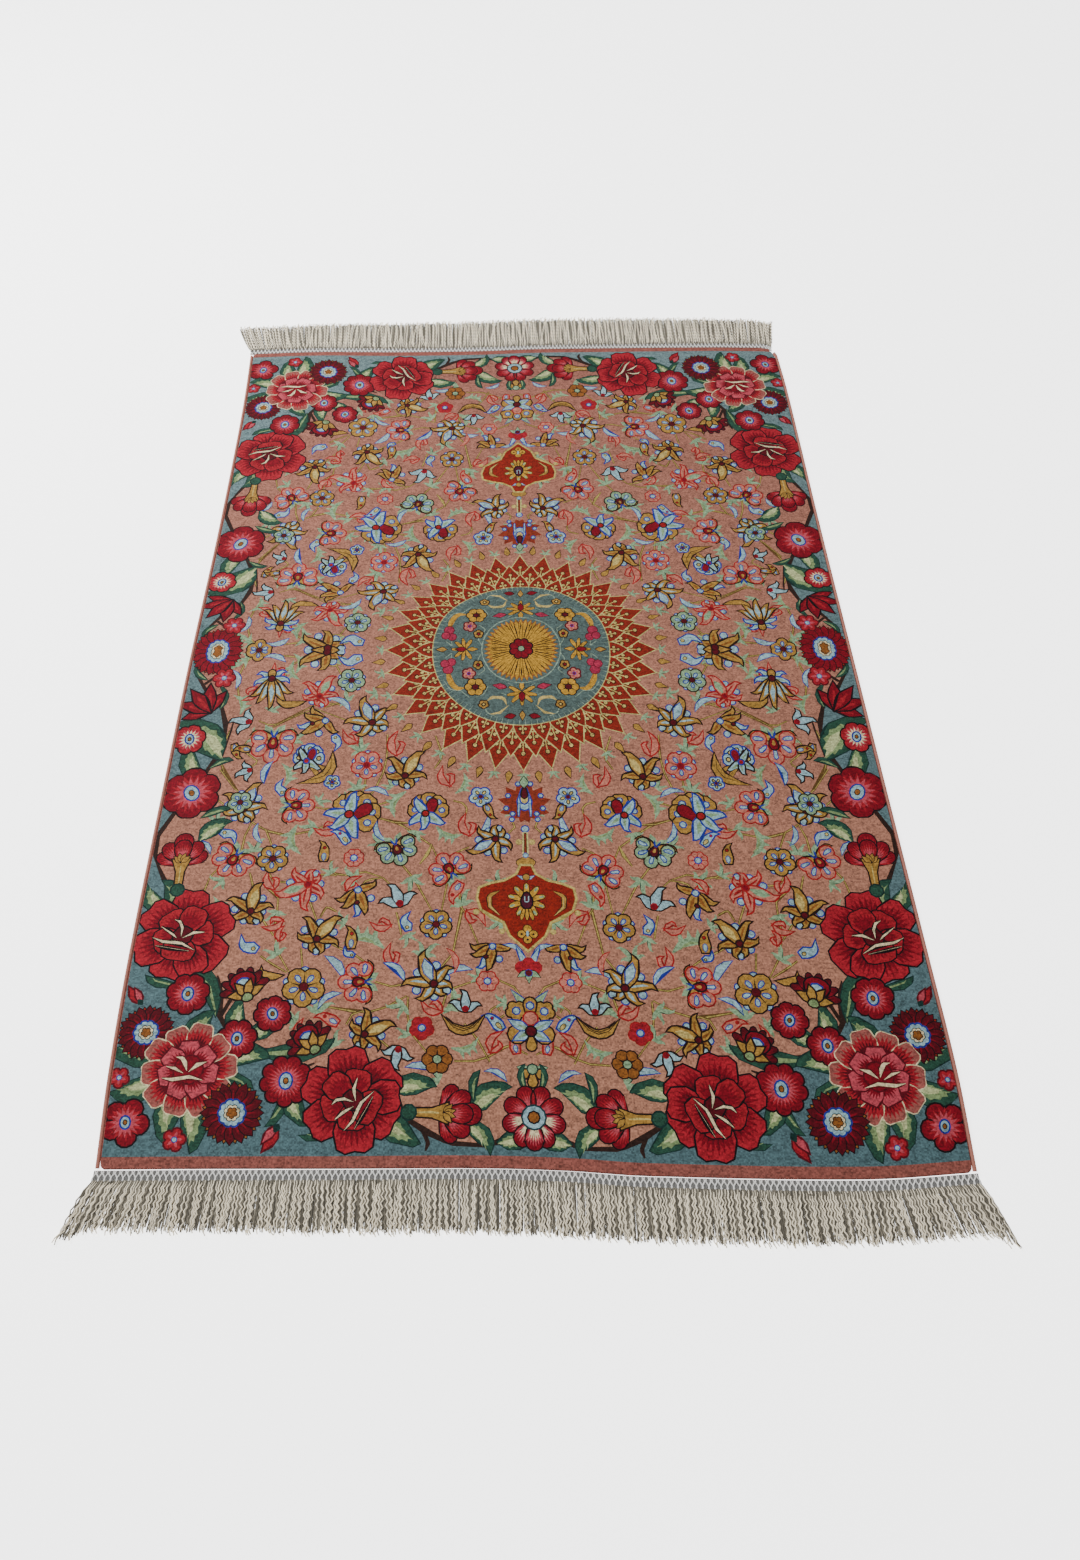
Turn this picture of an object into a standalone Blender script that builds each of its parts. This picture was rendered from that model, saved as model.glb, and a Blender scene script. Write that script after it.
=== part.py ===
"""A hand-knotted Persian rug lying flat, with bound sides and a knotted fringe at each end.

Lengths are written in millimetres and turned to metres with MM as the meshes are made.
The loom frame has its origin at the middle of the woven cloth: x runs across the rug,
y runs along it, away from the front end, and z is up from the floor.
"""

import math

import bmesh
import bpy
from mathutils import Matrix, Vector

MM = 0.001

# The woven cloth, bound sides included, before the small wander of its edges
HALF_WIDTH = 400.0
HALF_LENGTH = 590.0
CLOTH_THICK = 4.0
CLOTH_EDGE_ROUND = 1.0
CORNER_RADIUS = 6.0
FAR_RIGHT_RADIUS = 12.0

# The pieces sewn or knotted on to it
GAP = 0.3
SELVEDGE_DIAMETER = 4.0
HEADING_LENGTH = 10.0
HEADING_THICK = 2.2
HEADING_OVERHANG = 1.5
FRINGE_THICK = 3.0
FRINGE_SPINE = 3.0
TOOTH_COUNT = 71
TOOTH_SHARE = 0.76
TOOTH_TIP_SHARE = 0.8
TOOTH_UNEVENNESS = 4.0
TOOTH_SWAY = 2.0

# Where the long sides really lie, at a few places along the rug
SIDE_COLUMNS = ("y", "left", "right")
SIDE_STATIONS = (
    (-590.0, -402.0, 403.0),
    (-500.0, -407.0, 407.5),
    (-380.0, -409.0, 407.0),
    (-200.0, -407.0, 405.5),
    (0.0, -404.0, 404.0),
    (200.0, -398.5, 402.5),
    (400.0, -396.0, 402.5),
    (500.0, -396.5, 402.0),
    (590.0, -399.0, 399.0),
)

# Where the two ends really lie, at a few places across the rug
END_COLUMNS = ("x", "front", "back")
END_STATIONS = (
    (-400.0, -590.0, 582.0),
    (-300.0, -589.3, 587.0),
    (-180.0, -589.0, 586.0),
    (-50.0, -588.3, 588.0),
    (30.0, -590.5, 592.5),
    (100.0, -595.0, 594.0),
    (300.0, -598.0, 596.5),
    (400.0, -592.0, 595.0),
)

# Each end: which way it points, the fringe's length, and how far its corners fan out
END_ROWS = {
    "front": {"away": -1, "fringe": 46.0, "fan_left": 12.0, "fan_right": 14.0},
    "back": {"away": 1, "fringe": 66.0, "fan_left": 24.0, "fan_right": 20.0},
}
FAN_POWER = 4

CLOTH_STEP = 30.0
END_STEP = 25.0
ARC_STEPS = 3

SILK_RED = (0.46, 0.16, 0.12, 1.0)
SALMON = (0.45, 0.17, 0.12, 1.0)
WHITE_COTTON = (0.85, 0.83, 0.79, 1.0)
CREAM_SILK = (0.68, 0.62, 0.52, 1.0)


def read(stations, columns, name, at):
    """The value of a column between its stations, on a smooth curve through them."""
    column = columns.index(name)
    rows = [(row[0], row[column]) for row in stations]
    last = len(rows) - 1
    at = min(max(at, rows[0][0]), rows[last][0])
    i = max(k for k in range(last) if rows[k][0] <= at)

    def slope(k):
        before, after = rows[max(k - 1, 0)], rows[min(k + 1, last)]
        return (after[1] - before[1]) / (after[0] - before[0])

    (a, low), (b, high) = rows[i], rows[i + 1]
    span = b - a
    t = (at - a) / span
    return (
        low * (1 + 2 * t) * (1 - t) ** 2
        + high * t * t * (3 - 2 * t)
        + span * t * (1 - t) * ((1 - t) * slope(i) - t * slope(i + 1))
    )


def lie(x, y):
    """Where a point of the straight, square rug lies once its edges wander as they do."""
    left = read(SIDE_STATIONS, SIDE_COLUMNS, "left", y)
    right = read(SIDE_STATIONS, SIDE_COLUMNS, "right", y)
    front = read(END_STATIONS, END_COLUMNS, "front", x)
    back = read(END_STATIONS, END_COLUMNS, "back", x)
    across = (x + HALF_WIDTH) / (2 * HALF_WIDTH)
    along = (y + HALF_LENGTH) / (2 * HALF_LENGTH)
    return left + (right - left) * across, front + (back - front) * along


def spread(start, stop, step):
    """Even places from start to stop, about a step apart."""
    count = max(1, round(abs(stop - start) / step))
    return [start + (stop - start) * i / count for i in range(count + 1)]


def material(name, colour, roughness):
    made = bpy.data.materials.new(name)
    made.use_nodes = True
    shader = made.node_tree.nodes["Principled BSDF"]
    shader.inputs["Base Color"].default_value = colour
    shader.inputs["Roughness"].default_value = roughness
    shader.inputs["Metallic"].default_value = 0.0
    return made


def add_object(name, mesh, finish):
    mesh.materials.append(finish)
    made = bpy.data.objects.new(name, mesh)
    bpy.context.scene.collection.objects.link(made)
    return made


def slab(name, outline, thick, finish, edge_round=0.0):
    """A flat piece cut to an outline that runs anticlockwise, with its top edge rounded."""
    bm = bmesh.new()
    floor = bm.faces.new([bm.verts.new((x * MM, y * MM, 0.0)) for x, y in outline])
    risen = bmesh.ops.extrude_face_region(bm, geom=[floor])["geom"]
    top = [v for v in risen if isinstance(v, bmesh.types.BMVert)]
    bmesh.ops.translate(bm, verts=top, vec=(0.0, 0.0, thick * MM))
    if edge_round:
        rim = [e for e in bm.edges if all(v in top for v in e.verts)]
        bmesh.ops.bevel(
            bm,
            geom=rim,
            offset=edge_round * MM,
            segments=2,
            profile=0.5,
            affect="EDGES",
            material=-1,
        )
    bmesh.ops.recalc_face_normals(bm, faces=bm.faces)
    bmesh.ops.triangulate(bm, faces=[f for f in bm.faces if len(f.verts) > 4])
    mesh = bpy.data.meshes.new(name)
    bm.to_mesh(mesh)
    bm.free()
    return add_object(name, mesh, finish)


def corner(x, y, radius, start):
    """A quarter turn about a corner's centre, from the angle start in degrees."""
    turns = [math.radians(start + 90.0 * i / ARC_STEPS) for i in range(ARC_STEPS + 1)]
    return [(x + radius * math.cos(t), y + radius * math.sin(t)) for t in turns]


def cloth():
    """The whole weaving in one piece, from plain end band to plain end band."""
    half = HALF_WIDTH - SELVEDGE_DIAMETER - GAP
    r, far = CORNER_RADIUS, FAR_RIGHT_RADIUS
    inner_x, inner_y = half - r, HALF_LENGTH - r
    square = corner(-inner_x, -inner_y, r, 180.0)
    square += [(x, -HALF_LENGTH) for x in spread(-inner_x, inner_x, END_STEP)[1:-1]]
    square += corner(inner_x, -inner_y, r, 270.0)
    square += [(half, y) for y in spread(-inner_y, HALF_LENGTH - far, CLOTH_STEP)[1:-1]]
    square += corner(half - far, HALF_LENGTH - far, far, 0.0)
    square += [(x, HALF_LENGTH) for x in spread(half - far, -inner_x, END_STEP)[1:-1]]
    square += corner(-inner_x, inner_y, r, 90.0)
    square += [(-half, y) for y in spread(inner_y, -inner_y, CLOTH_STEP)[1:-1]]
    outline = [lie(x, y) for x, y in square]
    return slab(
        "rug_body",
        outline,
        CLOTH_THICK,
        material("knotted_silk", SILK_RED, 0.6),
        CLOTH_EDGE_ROUND,
    )


def selvedge(name, side):
    """The overcast cord along one long side. side is -1 at the left and 1 at the right."""
    far = FAR_RIGHT_RADIUS if side > 0 else CORNER_RADIUS
    x = side * (HALF_WIDTH - SELVEDGE_DIAMETER / 2)
    stops = spread(-HALF_LENGTH + CORNER_RADIUS, HALF_LENGTH - far, CLOTH_STEP)
    curve = bpy.data.curves.new(name, "CURVE")
    curve.dimensions = "3D"
    curve.bevel_depth = SELVEDGE_DIAMETER / 2 * MM
    curve.bevel_resolution = 2
    curve.use_fill_caps = True
    line = curve.splines.new("POLY")
    line.points.add(len(stops) - 1)
    for point, y in zip(line.points, stops):
        px, py = lie(x, y)
        point.co = (px * MM, py * MM, SELVEDGE_DIAMETER / 2 * MM, 1.0)
    return add_object(name, curve, material(name + "_silk", SALMON, 0.65))


def end_edge(end, x, beyond):
    """A point that far beyond the cloth's end, at x across it."""
    away = END_ROWS[end]["away"]
    px, py = lie(x, away * HALF_LENGTH)
    return px, py + away * beyond


def heading(end):
    """The band of small knots that holds the fringe to one end of the cloth."""
    half = HALF_WIDTH + HEADING_OVERHANG
    stops = spread(-half, half, END_STEP)
    near = [end_edge(end, x, GAP) for x in stops]
    far = [end_edge(end, x, GAP + HEADING_LENGTH) for x in stops]
    outline = near + far[::-1] if END_ROWS[end]["away"] < 0 else far + near[::-1]
    return slab(
        "heading_" + end,
        outline[::-1],
        HEADING_THICK,
        material("heading_" + end + "_cotton", WHITE_COTTON, 0.8),
    )


def tooth_tip(end, x, number):
    """How far sideways a tooth of the comb leans, and how long it is."""
    row = END_ROWS[end]
    fan = row["fan_right"] if x > 0 else -row["fan_left"]
    lean = fan * abs(x / HALF_WIDTH) ** FAN_POWER
    lean += TOOTH_SWAY * math.sin(x / 70.0) * math.cos(x / 190.0)
    uneven = 0.5 + 0.5 * math.sin(2.3 * number + 1.1 * math.sin(0.7 * number))
    return lean, row["fringe"] - FRINGE_SPINE - TOOTH_UNEVENNESS * uneven


def fringe(end):
    """The fringe as one comb: a spine along the heading, and a tooth for every two tassels."""
    start = GAP + HEADING_LENGTH + GAP
    half = HALF_WIDTH + HEADING_OVERHANG
    away = END_ROWS[end]["away"]
    pitch = 2 * half / TOOTH_COUNT
    teeth = []
    for number in range(TOOTH_COUNT):
        x = -half + pitch * (number + 0.5)
        lean, length = tooth_tip(end, x, number)
        wide = pitch * TOOTH_SHARE / 2
        for side, reach in ((-1, 0), (-1, 1), (1, 1), (1, 0)):
            share = TOOTH_TIP_SHARE if reach else 1.0
            px, py = end_edge(end, x, start + FRINGE_SPINE)
            teeth.append((px + side * wide * share + lean * reach, py + away * length * reach))
    spine = [end_edge(end, x, start) for x in spread(half, -half, END_STEP)]
    outline = teeth + spine
    return slab(
        "fringe_" + end,
        outline if away < 0 else outline[::-1],
        FRINGE_THICK,
        material("fringe_" + end + "_silk", CREAM_SILK, 0.75),
    )


def centre_on_floor(pieces):
    """Moves every piece so that the origin is under the middle of the whole rug."""
    bpy.context.view_layer.update()
    corners = [piece.matrix_world @ Vector(c) for piece in pieces for c in piece.bound_box]
    middle = [(min(c[k] for c in corners) + max(c[k] for c in corners)) / 2 for k in (0, 1)]
    shift = Matrix.Translation((-middle[0], -middle[1], 0.0))
    for piece in pieces:
        piece.data.transform(shift)


def main():
    for old in list(bpy.data.objects):
        bpy.data.objects.remove(old)
    pieces = [cloth(), selvedge("selvedge_left", -1), selvedge("selvedge_right", 1)]
    for end in END_ROWS:
        pieces += [heading(end), fringe(end)]
    centre_on_floor(pieces)


main()
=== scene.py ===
"""The looks of the Persian rug: its knotted pattern, bound sides, net headings and fringes.

Lengths are in millimetres until a mesh is made. A point of the pattern is a complex number,
x + yj, on the straight, square rug that was charted: the origin is the middle of the design,
x runs to the right and y towards the back end. Only the front left quarter is charted, and
the other three mirror it. A motif is drawn pointing up, towards +y, and turns anticlockwise.
"""

import bisect
import cmath
import math
import random

import bmesh
import bpy
from mathutils import Matrix, Vector
from mathutils.geometry import delaunay_2d_cdt


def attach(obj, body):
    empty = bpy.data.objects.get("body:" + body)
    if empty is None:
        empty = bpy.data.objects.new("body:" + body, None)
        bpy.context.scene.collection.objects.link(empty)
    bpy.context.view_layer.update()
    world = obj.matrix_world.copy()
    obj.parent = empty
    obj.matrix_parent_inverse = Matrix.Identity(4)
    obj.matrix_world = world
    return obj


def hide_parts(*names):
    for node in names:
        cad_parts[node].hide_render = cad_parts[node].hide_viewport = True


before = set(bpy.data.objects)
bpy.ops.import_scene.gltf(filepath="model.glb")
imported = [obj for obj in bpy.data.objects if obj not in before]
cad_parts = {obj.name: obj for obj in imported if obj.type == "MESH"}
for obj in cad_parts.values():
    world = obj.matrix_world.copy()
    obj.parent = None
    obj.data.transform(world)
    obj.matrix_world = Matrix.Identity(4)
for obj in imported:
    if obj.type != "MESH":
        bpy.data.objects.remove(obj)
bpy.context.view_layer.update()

MM = 0.001


# ------------------------------------------------------------------ outlines of patches

EDGE = 1.7  # how wide the dark line round a motif is


def unit(step):
    return step / abs(step) if step else 0j


def ring(radius, sides=10, at=0j):
    return [at + cmath.rect(radius, math.tau * i / sides) for i in range(sides)]


def turned(outline, degrees, at=0j):
    """The outline turned about the origin, and then moved to a place."""
    spin = cmath.rect(1.0, math.radians(degrees))
    return [at + point * spin for point in outline]


def ahead(distance, degrees):
    """A step in the way that a motif turned by so many degrees points."""
    return cmath.rect(distance, math.radians(degrees + 90))


def scaled(outline, size, about=0j):
    return [about + (point - about) * size for point in outline]


def grow(outline, by):
    """The outline moved outwards, square to its edge, or inwards where by is below 0."""
    around = zip(outline, outline[1:] + outline[:1])
    area = sum((a.conjugate() * b).imag for a, b in around)
    outwards = -1j if area > 0 else 1j
    grown = []
    for i, point in enumerate(outline):
        coming = unit(point - outline[i - 1])
        going = unit(outline[(i + 1) % len(outline)] - point)
        along = unit(coming + going)
        mitre = max(0.5, (along.conjugate() * going).real)
        grown.append(point + outwards * along * by / mitre)
    return grown


def jagged(outline, depth):
    """The outline with every second point drawn in by a share, as a shading's edge steps in."""
    middle = sum(outline) / len(outline)
    drawn_in = scaled(outline, 1.0 - depth, middle)
    return [drawn_in[i] if i % 2 else point for i, point in enumerate(outline)]


def blade(length, width, bend=0.0, widest=0.45, steps=6):
    """A pointed leaf or petal from the origin up. bend is how far its tip goes sideways."""
    power = math.log(0.5) / math.log(widest)
    right, left = [], []
    for i in range(1, steps):
        t = i / steps
        spine = length * complex(bend * t * t, t)
        across = unit(complex(1.0, -2.0 * bend * t)) * width / 2
        across *= math.sin(math.pi * t**power)
        right.append(spine + across)
        left.append(spine - across)
    return [0j] + right + [length * complex(bend, 1.0)] + left[::-1]


def petal(length, width, wave=0.0, sides=14):
    """A round-ended petal from the origin up. wave ripples its outer rim."""
    points = []
    for i in range(sides):
        turn = math.tau * i / sides
        rise = (1.0 - math.cos(turn)) / 2
        across = -math.sin(turn) * (0.62 + 0.42 * rise)
        ripple = 1.0 + wave * rise * math.cos(5.0 * turn)
        points.append(complex(-across * width / 2, rise * length) * ripple)
    return points


def lobed(radius, lobes, depth, steps=5):
    """A flower's outline, with round lobes and sharp notches between them."""
    points = []
    for i in range(lobes * steps):
        turn = math.pi * i / (lobes * steps) * 2
        reach = 1.0 - depth * (1.0 - abs(math.sin(lobes * turn / 2)) ** 0.7)
        points.append(cmath.rect(radius * reach, turn + math.pi / 2))
    return points


def star(points, outer, inner):
    """A ring of pointed petals, the first of them up."""
    count = 2 * points
    reach = (outer, inner)
    return [cmath.rect(reach[i % 2], math.tau * i / count + math.pi / 2) for i in range(count)]


def smooth(path, steps):
    """Points along a smooth curve through the path's own points."""
    ends = [2 * path[0] - path[1]] + list(path) + [2 * path[-1] - path[-2]]
    points = []
    for a, b, c, d in zip(ends, ends[1:], ends[2:], ends[3:]):
        for i in range(steps):
            t = i / steps
            bow = (2 * a - 5 * b + 4 * c - d) * t * t + (3 * b - a - 3 * c + d) * t**3
            points.append((2 * b + (c - a) * t + bow) / 2)
    return points + [path[-1]]


def stroke(path, width, start=0.0, end=0.0, steps=4):
    """A smooth line along a path. start and end are its width there, as shares of width."""
    points = smooth(path, steps)
    last = len(points) - 1
    right, left = [], []
    for i, point in enumerate(points):
        along = unit(points[min(i + 1, last)] - points[max(i - 1, 0)])
        t = i / last
        share = start + (end - start) * t
        share += (1.0 - share) * math.sin(math.pi * t)
        across = -1j * along * width / 2 * share
        right.append(point + across)
        left.append(point - across)
    if not start:
        left = left[1:]
    if not end:
        left = left[:-1]
    return right + left[::-1]


def ribbon(path, widths, steps=2):
    """A closed outline round a smooth spine, with its full width at each of the path's points."""
    spine = smooth(path, steps)
    wide = smooth([complex(w, 0.0) for w in widths], steps)
    last = len(spine) - 1
    right, left = [], []
    for i, point in enumerate(spine):
        along = unit(spine[min(i + 1, last)] - spine[max(i - 1, 0)])
        across = -1j * along * max(wide[i].real, 0.0) / 2
        right.append(point + across)
        left.append(point - across)
    if not widths[0]:
        left = left[1:]
    if not widths[-1]:
        left = left[:-1]
    return right + left[::-1]


def hooked(length, width, hook):
    """A petal from the origin up, broad in the middle, whose point curls aside by hook."""
    path = (0j, 0.3j, 0.62j + 0.02 * hook, 0.9j + 0.22 * hook, 1.02j + hook * 0.9)
    widths = (0.3, 0.95, 0.9, 0.42, 0.0)
    return ribbon([p * length for p in path], [w * width for w in widths])


def vein(length, width, hook, start=0.15, end=0.8):
    """A streak up the middle of a hooked petal."""
    path = (1j * start, 0.4j, 0.62j + 0.02 * hook, 1j * end + 0.12 * hook)
    widths = (0.0, 0.42, 0.36, 0.0)
    return ribbon([p * length for p in path], [w * width for w in widths])


# ------------------------------------------------------------------------------- motifs
# Each motif is a list of patches, from the lowest to the topmost: a dye and an outline.

TINTS = {
    # line, petal, streak, berry, berry line, heart
    "gold": ("bark", "gold", "amber", "sky", "royal", "wine"),
    "blue": ("royal", "sky", "mint", "straw", "bark", "wine"),
    "fan": ("bark", "gold", "sky", "sky", "royal", "wine"),
    "red": ("coral", "blush", "coral", "sky", "royal", "crimson"),
    "mint": ("bark", "mint", "sky", "sky", "royal", "wine"),
}


def lined(line, dye, outline, by=EDGE):
    """A patch with a line round it."""
    return [(line, grow(outline, by)), (dye, outline)]


def berry(line, dye, radius, at, sides=8):
    return lined(line, dye, ring(radius, sides, at), 1.3)


def petals(rows, size, foot, line, dye, streak=None):
    """Hooked petals round a foot. Each row has a turn, a length, a width and a hook."""
    patches = []
    for turn, length, width, hook in rows:
        shape = hooked(length * size, width * size, hook * size / (length * size))
        patches += lined(line, dye, turned(shape, turn, foot))
        if streak:
            light = vein(length * size, width * size, hook / length)
            patches.append((streak, turned(light, turn, foot)))
    return patches


LILY_BERRIES = ((-6, 0.86), (52, 0.78), (-66, 0.84), (-122, 0.56), (122, 0.56), (180, 0.62))
LILY_PETALS = (
    # turn, length, width, hook
    (150, 0.64, 0.34, -0.22),
    (-150, 0.74, 0.36, 0.24),
    (88, 0.92, 0.38, 0.28),
    (-94, 1.02, 0.36, 0.3),
    (22, 1.28, 0.42, -0.26),
)


def lily(size, tint):
    """A lily from the side: hooked petals, one of them broad, with berries between them."""
    line, dye, streak, dot, dot_line, heart = TINTS[tint]
    foot = -0.4j * size
    patches = []
    for turn, reach in LILY_BERRIES:
        at = foot + ahead(reach * size, turn)
        patches += berry(dot_line, dot, 0.16 * size, at)
    patches += petals(LILY_PETALS, size, foot, line, dye, streak)
    patches += petals(((-34, 1.5, 0.58, 0.3),), size, foot, line, dye)
    broad = turned(vein(1.5 * size, 0.95 * size, 0.2, 0.1, 0.8), -38, foot)
    if tint == "fan":
        patches += lined(dot_line, dot, broad, 0.9)
    else:
        patches.append(("straw" if dye == "gold" else "mint", broad))
    return patches + lined(line, heart, ring(0.14 * size, 8, foot))


def half_lily(size, tint):
    """A nodding lily: broad petals hang from a berry, with a narrow leaf below them."""
    line, dye, streak, dot, dot_line, heart = TINTS[tint]
    foot = 0.62j * size
    patches = berry(dot_line, dot, 0.17 * size, foot + (0.72 - 0.5j) * size)
    low = foot - 0.75j * size
    patches += petals(((190, 0.75, 0.3, 0.22),), size, low, dot_line, dot)
    rows = ((-72, 1.0, 0.4, -0.24), (128, 1.2, 0.42, 0.3), (152, 1.25, 0.46, 0.22))
    patches += petals(rows, size, foot, line, dye, streak)
    patches += petals(((-158, 1.45, 0.5, 0.12),), size, foot, line, dye, streak)
    patches += berry(line, heart, 0.1 * size, low, 6)
    return patches + berry(dot_line, dot, 0.16 * size, foot)


BELL_LEAVES = (
    # turn, length, width, hook
    (50, 0.72, 0.24, -0.2),
    (-50, 0.72, 0.24, 0.2),
    (96, 0.85, 0.26, -0.22),
    (-96, 0.85, 0.26, 0.22),
)
BELL_PETALS = (
    # turn, length, hook
    (140, 1.35, 0.2),
    (-140, 1.35, -0.2),
    (158, 1.5, 0.12),
    (-158, 1.5, -0.12),
    (180, 1.75, 0.1),
)


def bell(size):
    """A hanging bell of striped petals, with pale hooked leaves on both sides of its cap."""
    foot = 0.5j * size
    patches = petals(BELL_LEAVES, size, foot, "royal", "sky", "mint")
    patches += lined("bark", "gold", petal_at(0.5 * size, 0.4 * size, 0, foot))
    for turn, length, hook in BELL_PETALS:
        patches += petals(((turn, length, 0.34, hook),), size, foot, "bark", "gold")
        stripe = vein(length * size, 0.6 * size, hook / length, 0.2, 0.82)
        patches.append(("sky", turned(stripe, turn, foot)))
    return patches + lined("bark", "wine", ring(0.15 * size, 8, foot))


def petal_at(length, width, turn, at, sides=10):
    return turned(petal(length, width, 0.0, sides), turn, at)


def drop(line, dye, length, width, turn, at, by=1.1):
    """A small round-ended drop with a line round it."""
    return lined(line, dye, petal_at(length, width, turn, at, 8), by)


def palmette(size, tint):
    """A lotus from the side: scalloped lobes with a pale drop in each, over hooked sepals."""
    line, dye, _, dot, dot_line, heart = TINTS[tint]
    foot = -0.3j * size
    patches = []
    for turn in (148, -148):
        wing = jagged(blade(0.95 * size, 0.5 * size, 0, 0.5), 0.15)
        patches.append(("mint", turned(wing, turn, foot)))
    rows = ((118, 1.1, 0.34, 0.34), (-118, 1.1, 0.34, -0.34))
    patches += petals(rows, size, foot, "bark", "gold")
    places = []
    for turn in (96, -96, 52, -52, 0):
        reach = 0.72 + 0.14 * math.cos(math.radians(turn))
        places.append((turn, foot + ahead(reach * size, turn)))
    patches += [(line, ring(0.36 * size + EDGE, 10, at)) for _, at in places]
    patches += [(dye, ring(0.36 * size, 10, at)) for _, at in places]
    for turn, _ in places:
        at = foot + ahead(0.5 * size, turn)
        patches += drop(dot_line, dot, 0.46 * size, 0.24 * size, turn, at)
    patches += lined("bark", heart, petal_at(0.6 * size, 0.5 * size, 0, foot - 0.12j * size))
    patches.append(("gold", petal_at(0.28 * size, 0.22 * size, 0, foot)))
    for turn in (160, -160):
        dash = stroke([0.1j * size, 0.55j * size], 0.12 * size, 0.6, 0.2, 2)
        patches.append((dot_line, turned(dash, turn, foot)))
    return patches


def side_palmette(size, tint):
    """A scalloped half fan with a dark heart, under long pale petals."""
    line, dye, _, dot, dot_line, _ = TINTS[tint]
    patches = []
    fan = [(turn, ahead(0.66 * size, turn)) for turn in (66, 22, -22, -66, -110)]
    for turn, at in fan:
        patches += lined(line, dye, [at + p for p in turned(lobed(0.42 * size, 3, 0.22, 4), turn)])
    for turn, at in fan:
        patches += berry(dot_line, dot, 0.12 * size, at * 1.04, 7)
    patches += lined(line, "crimson", petal_at(0.95 * size, 0.6 * size, -30, -0.25j * size))
    foot = -0.2 * size - 0.12j * size
    rows = ((104, 0.95, 0.42, -0.1), (14, 1.0, 0.42, 0.1), (-146, 1.1, 0.5, -0.12), (160, 0.9, 0.4, 0.2))
    patches += petals(rows, size, foot, dot_line, "sky", "mint")
    return patches + lined(line, "coral", ring(0.15 * size, 8, foot))


BERRIED = 16  # a rosette larger than this has berries between its petals


def rosette(size, tint, lobes=5):
    """A round flower seen from above, with a pale drop in each petal."""
    line, dye, _, dot, dot_line, heart = TINTS[tint]
    ways = [360 * (i + 0.5) / lobes for i in range(lobes)]
    rounds = [ahead(0.56 * size, way) for way in ways]
    patches = []
    if size > BERRIED:
        for way in ways:
            at = ahead(0.8 * size, way + 180 / lobes)
            patches += berry(dot_line, dot, 0.17 * size, at)
    wide = 2.1 * size / lobes
    patches += [(line, ring(wide + EDGE, 10, at)) for at in rounds]
    patches += [(dye, ring(wide, 10, at)) for at in rounds]
    for way in ways:
        crease = blade(0.72 * size, 0.1 * size, 0, 0.5, 3)
        patches.append((line, turned(crease, way + 180 / lobes)))
        at = ahead(0.3 * size, way)
        patches += drop(dot_line, dot, 0.36 * size, 0.22 * size, way, at)
    return patches + lined(line, heart, ring(0.2 * size, 8), 1.0)


def plain_rosette(size, petal_dye, line, heart, heart_line, lobes=6):
    """A small flower of one dye, with dark creases between its petals."""
    wide = 2.2 * size / lobes
    rounds = [cmath.rect(0.52 * size, math.tau * (i + 0.5) / lobes + math.pi / 2) for i in range(lobes)]
    patches = [(line, ring(wide + 1.4, 9, at)) for at in rounds]
    patches += [(petal_dye, ring(wide, 9, at)) for at in rounds]
    for i in range(lobes):
        crease = blade(0.7 * size, 0.14 * size, 0, 0.5, 3)
        patches.append((line, turned(crease, 360 * i / lobes)))
    return patches + lined(heart_line, heart, ring(0.24 * size, 8), 1.3)


def hook_leaf(size, tint):
    """A long horn of a leaf that sweeps to one side, with dark stripes and spurs along it."""
    line, dye = TINTS[tint][:2]
    path = (-0.95 - 0.62j, -0.4 - 0.52j, 0.1 - 0.25j, 0.42 + 0.25j, 0.4 + 0.9j)
    body = ribbon([p * size for p in path], [w * size for w in (0.0, 0.22, 0.42, 0.34, 0.0)])
    patches = []
    for along in (0.0, 0.35):
        at = (along - 0.1 - 0.28j + 0.4j * along) * size
        spur = turned(blade(0.6 * size, 0.2 * size, -0.3, 0.4, 5), 25, at)
        patches += lined(line, dye, spur, 0.9)
    patches += lined(line, dye, body)
    for reach, lift in ((0.8, 0.04), (0.6, -0.06)):
        stripe = [p * reach * size + lift * size * (1 - 1j) for p in path]
        patches.append((line, stroke(stripe, 1.1, 0.3, 0.3, 2)))
    return patches


def crescent(size, tint):
    """A shallow bowl of two striped curved leaves."""
    line, dye = TINTS[tint][:2]
    path = (-1.0 + 0.35j, -0.55 - 0.2j, 0.0 - 0.4j, 0.55 - 0.2j, 1.0 + 0.35j)
    body = ribbon([p * size for p in path], [w * size for w in (0.0, 0.3, 0.36, 0.3, 0.0)])
    patches = lined(line, dye, body)
    for lift in (0.07, -0.04):
        stripe = [p * size * 0.84 + (lift - 0.02) * size * 1j for p in path]
        patches.append((line, stroke(stripe, 1.0, 0.3, 0.3, 2)))
    return patches


def boat_leaf(size, tint):
    """A boat-shaped leaf with a long curled tip."""
    line, dye = TINTS[tint][:2]
    path = (-1.3 + 0.55j, -1.15 + 0.15j, -0.6 - 0.16j, 0.1 - 0.1j, 0.7 + 0.12j)
    body = ribbon([p * size for p in path], [w * size for w in (0.0, 0.2, 0.5, 0.46, 0.0)])
    return lined(line, dye, body)


def paisley(size, tint):
    """A drop whose point curls over, with a small scroll at its round end."""
    line, dye, streak = TINTS[tint][:3]
    path = (0.15 - 0.8j, 0.1 - 0.35j, -0.1 + 0.1j, 0.0 + 0.55j, 0.5 + 1.0j)
    body = ribbon([p * size for p in path], [w * size for w in (0.5, 0.85, 0.66, 0.36, 0.0)])
    patches = lined(line, dye, body)
    patches += lined("bark", "straw", ring(0.14 * size, 7, (0.08 - 0.5j) * size), 0.8)
    return patches


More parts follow.
